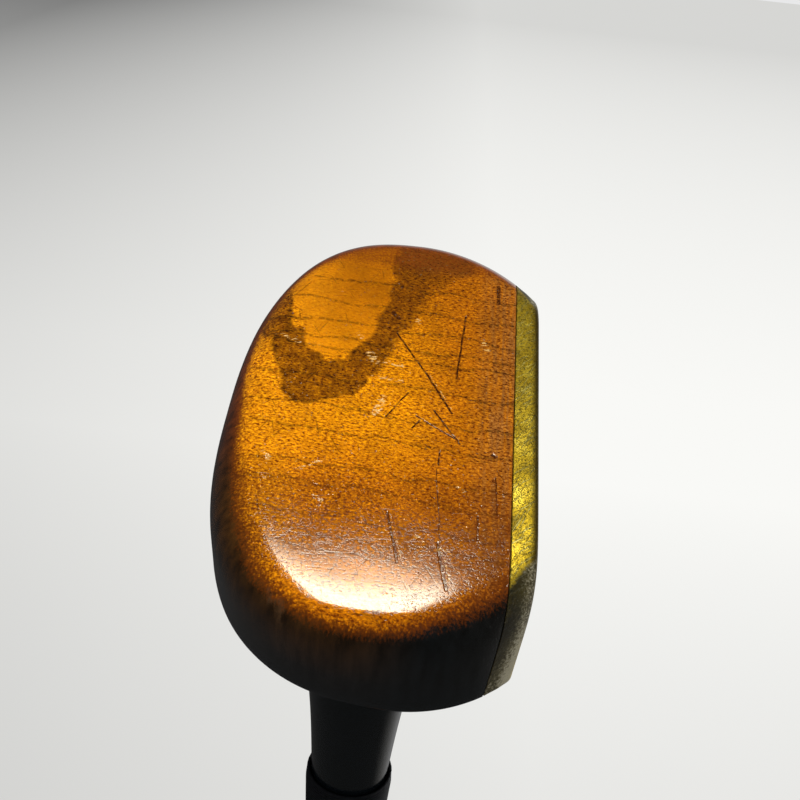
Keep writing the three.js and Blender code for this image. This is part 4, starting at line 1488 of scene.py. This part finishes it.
def waxed_thread(add):
    """Black waxed linen thread, two plies twisted and rubbed smooth, with a soft wax sheen."""
    along = add(ATTRIBUTE, attribute_name="along").outputs["Fac"]
    around = add(ATTRIBUTE, attribute_name="around").outputs["Fac"]
    walked = add(TIMES, (along, FULL_TURN / PLY_LENGTH))
    turned_by = add(TIMES_PLUS, (around, PLIES * FULL_TURN, walked))
    plies = add(SINE, (turned_by,))
    fuzz = add(NOISE, (millimetres(add), 1.4, 4, 0.7))
    colour = add(COLOURS, (fuzz,), [(0.3, "#0C0E12"), (0.6, "#14171C"), (0.8, "#20242A")])
    roughness = add(RANGE, (fuzz, *NOISE_SPAN, 0.55, 0.42))
    height = add(TIMES_PLUS, (plies, 0.5, fuzz))
    relief = add(BUMP, {"Height": height, "Strength": 0.4, "Distance": THREAD_RELIEF})
    return {"Base Color": colour, "Roughness": roughness, "IOR": 1.45, "Normal": relief}


def grip_leather(add):
    """Vegetable-tanned calf, dark brown and handled: fine pebbled grain, rubbed paler on its edges."""
    place = millimetres(add)
    pebbles = add("ShaderNodeTexVoronoi", (place, 1.1), feature="DISTANCE_TO_EDGE")
    creases = add(RANGE, (pebbles, 0, 0.16, 0, 1))
    handled = add(NOISE, (place, 0.06, 5, 0.6))
    colour = add(COLOURS, (handled,), [(0.3, "#24150D"), (0.5, "#38210F"), (0.7, "#4C2E18")])
    crease_tone = add(RANGE, (creases, 0, 1, 0.6, 1.05))
    grained = add(WAY_SCALED, (colour, crease_tone))
    side = add(ATTRIBUTE, attribute_name="edge_share").outputs["Fac"]
    edge = add(RANGE, (side, 0.9, 1, 0, 0.55))
    edged = add(OVER, (edge, grained, "#6E4A2C"))
    roughness = add(RANGE, (handled, *NOISE_SPAN, 0.62, 0.44))
    relief = add(BUMP, {"Height": creases, "Strength": 0.5, "Distance": LEATHER_RELIEF})
    return {"Base Color": edged, "Roughness": roughness, "IOR": 1.5, "Normal": relief}


def listing_cloth(add):
    """Unbleached woollen listing: a plain weave gone grey, with fuzz."""
    place = millimetres(add)
    warp = add("ShaderNodeTexWave", (place, 0.55, 0.6), bands_direction="Z")
    weft = add("ShaderNodeTexWave", (place, 0.55, 0.6), bands_direction="X")
    weave = add(TIMES, (warp, weft))
    fuzz = add(NOISE, (place, 1.2, 5, 0.7))
    colour = add(COLOURS, (fuzz,), [(0.3, "#6C6350"), (0.55, "#8D8470"), (0.75, "#A49B86")])
    tone = add(RANGE, (weave, 0, 1, 0.7, 1.1))
    woven = add(WAY_SCALED, (colour, tone))
    roughness = add(RANGE, (fuzz, *NOISE_SPAN, 0.98, 0.85))
    relief = add(BUMP, {"Height": weave, "Strength": 0.6, "Distance": LISTING_RELIEF})
    return {"Base Color": woven, "Roughness": roughness, "Sheen Weight": 0.3, "Normal": relief}


def cast_lead(add):
    """Lead poured into the pocket and dulled to grey oxide, with the soft skin of a casting."""
    clouds = add(NOISE, (millimetres(add), 0.3, 6, 0.6))
    colour = add(COLOURS, (clouds,), [(0.3, "#54575B"), (0.55, "#6D7074"), (0.75, "#84878B")])
    roughness = add(RANGE, (clouds, *NOISE_SPAN, 0.7, 0.52))
    relief = add(BUMP, {"Height": clouds, "Strength": 0.4, "Distance": LEAD_RELIEF})
    return {"Base Color": colour, "Metallic": 0.8, "Roughness": roughness, "Normal": relief}


# Stage

def camera():
    data = bpy.data.cameras.new("camera")
    data.lens = CAMERA_LENS
    data.sensor_width = CAMERA_SENSOR
    data.clip_start = CAMERA_NEAREST
    data.clip_end = CAMERA_FARTHEST
    eye = placed("camera", data)
    aim = Vector(CAMERA_AIM) - Vector(CAMERA_PLACE)
    upright = aim.to_track_quat("-Z", "Y").to_matrix().to_4x4()
    eye.matrix_world = Matrix.Translation(CAMERA_PLACE) @ upright @ Matrix.Rotation(CAMERA_ROLL, 4, "Z")
    bpy.context.scene.camera = eye


def lamp():
    """A soft box straight over the head, which fades out on its far side and on one side."""
    data = bpy.data.lights.new("overhead", "AREA")
    data.shape = "RECTANGLE"
    data.size = LAMP_WIDTH
    data.size_y = LAMP_REACH
    data.energy = LAMP_POWER
    add = emptied(data)
    spot = add("ShaderNodeNewGeometry")
    axes = add(SPLIT, (spot.outputs["Parametric"],))
    fade = add(SOFT_RANGE, (axes.outputs["Y"], 1 - LAMP_FAR_FADE_SHARE, 1, 1, 0))
    side_fade = add(SOFT_RANGE, (axes.outputs["X"], 1 - LAMP_SIDE_FADE_SHARE, 1, 1, 0))
    faded = add(TIMES, (fade, side_fade))
    glow = add("ShaderNodeEmission", {"Strength": faded})
    add("ShaderNodeOutputLight", (glow,))
    bulb = placed("overhead", data)
    bulb.location = LAMP_PLACE
    bulb.visible_camera = False


def studio_air():
    """Even soft light, a pale backdrop for the camera, and for gloss a pale band ahead, else dark."""
    world = bpy.data.worlds.new("studio")
    bpy.context.scene.world = world
    add = emptied(world)
    look = add("ShaderNodeTexCoord")
    right, onward, upward = add(SPLIT, (look.outputs["Generated"],)).outputs
    below = add(RANGE, (upward, *GLOSS_BAND_FOOT, 0, 1))
    above = add(SOFT_RANGE, (upward, *GLOSS_BAND_TOP, 1, 0))
    band = add(TIMES, (below, above))
    sideways = add(TIMES, (right, GLOSS_SIDE_SHARE))
    ahead = add(TIMES_PLUS, (onward, GLOSS_AHEAD_SHARE, sideways))
    ahead_share = add(SOFT_RANGE, (ahead, *GLOSS_AHEAD_ENDS, 0, 1))
    pale = add(TIMES, (band, ahead_share))
    gloss = add(RANGE, (pale, 0, 1, GLOSS_DARK, GLOSS_PALE))
    rays = add("ShaderNodeLightPath").outputs
    lit = add(MIX, (rays["Is Glossy Ray"], SOFT_LIGHT, gloss))
    shown = add(MIX, (rays["Is Camera Ray"], lit, BACKDROP_LIGHT))
    sky = add("ShaderNodeBackground", ("#FBFBFC", shown))
    add("ShaderNodeOutputWorld", (sky,))


def floor():
    """A pale floor under the butt: its tone falls off to the left and far away as painted shade, and it
    keeps shadows.
    """
    reach = FLOOR_REACH
    corners = [(-reach, -reach), (reach, -reach), (reach, reach), (-reach, reach)]
    ground = mesh_piece("floor", [(x, y, -FLOOR_DROP) for x, y in corners], [(0, 1, 2, 3)])
    material = bpy.data.materials.new("pale_floor")
    add = emptied(material)
    here = add("ShaderNodeTexCoord")
    right, onward = add(SPLIT, (here.outputs["Object"],)).outputs[:2]
    left = add(RANGE, (right, *FLOOR_LEFT_ENDS, 0, FLOOR_LEFT_PAINTED_SHADE))
    far = add(RANGE, (onward, *FLOOR_FAR_ENDS, *FLOOR_FAR_PAINTED_FALLOFF))
    near = add(RANGE, (onward, *FLOOR_NEAR_ENDS, 0, FLOOR_NEAR_PAINTED_SHADE))
    far_left = add(PLUS, (far, left))
    tone = add(PLUS, (far_left, near))
    blue = add(TIMES, (tone, FLOOR_BLUE_SHARE))
    grey = add("ShaderNodeCombineColor", (tone, tone, blue))
    matt = add("ShaderNodeBsdfDiffuse", ("#F0F0F1",))
    glow = add("ShaderNodeEmission", (grey, 1))
    rays = add("ShaderNodeLightPath").outputs
    share = add(TIMES, (rays["Is Camera Ray"], FLOOR_GLOW_SHARE))
    both = add("ShaderNodeMixShader", (share, matt, glow))
    clear = add("ShaderNodeBsdfTransparent")
    side = add("ShaderNodeNewGeometry")
    upper = add("ShaderNodeMixShader", (side.outputs["Backfacing"], both, clear))
    add("ShaderNodeOutputMaterial", (upper,))
    ground.data.materials.append(material)
    ground.visible_glossy = False


# Assembly

def dress(piece, material, nodes):
    if material is not None:
        piece.data.materials.clear()
        piece.data.materials.append(material)
    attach(piece, "root")
    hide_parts(*nodes)


camera()
lamp()
studio_air()
floor()

varnish = finish("worn_varnish_and_painted_shade", worn_varnish_and_painted_shade)
plate_finish = finish("tarnished_brass_and_painted_light", tarnished_brass_and_painted_light)
screw_finish = finish("screw_brass", screw_brass)
hickory = finish("oiled_hickory", oiled_hickory)
thread_finish = finish("waxed_thread", waxed_thread)
leather_finish = finish("grip_leather", grip_leather)
listing_finish = finish("listing_cloth", listing_cloth)
lead_finish = finish("cast_lead", cast_lead)

pebble = moved(head_pebble(), HEAD_TO_CLUB)
dress(head_wood(pebble), varnish, ["head_block"])
dress(brass_plate(pebble), plate_finish, ["face_plate"])
bpy.data.objects.remove(pebble)
screw_nodes = [f"face_screw_{k + 1}" for k in range(len(SCREW_PLACES))]
dress(plate_screws(screw_finish), None, screw_nodes)

dress(shaft_wood(), hickory, ["shaft"])
dress(listing_wrap(), listing_finish, ["grip_listing"])
dress(leather_wrap(), leather_finish, ["grip_leather"])
tack_nodes = [f"grip_tack_{k + 1}" for k in range(len(TACK_TURN_SHARES))]
dress(butt_tacks(), screw_finish, tack_nodes)

neck_top = CROWN_HEIGHT - NECK_WHIPPING_START - FINE_THREAD_DIAMETER / 2
neck_run = NECK_WHIPPING_LOOPS * THREAD_PITCH
neck_thread = wound_thread("neck_thread", neck_top, neck_run, neck_carrier, -1, thread_finish)
dress(neck_thread, None, ["neck_whipping"])
grip_foot = GRIP_END - GRIP_WHIPPING_COVER
grip_run = GRIP_WHIPPING_LOOPS * THREAD_PITCH
grip_thread = wound_thread("grip_thread", grip_foot, grip_run, grip_carrier, 1, thread_finish)
dress(grip_thread, None, ["grip_whipping"])

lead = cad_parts["lead_weight"]
for slot in lead.material_slots:
    slot.material = lead_finish

bpy.context.scene.view_settings.view_transform = "Standard"
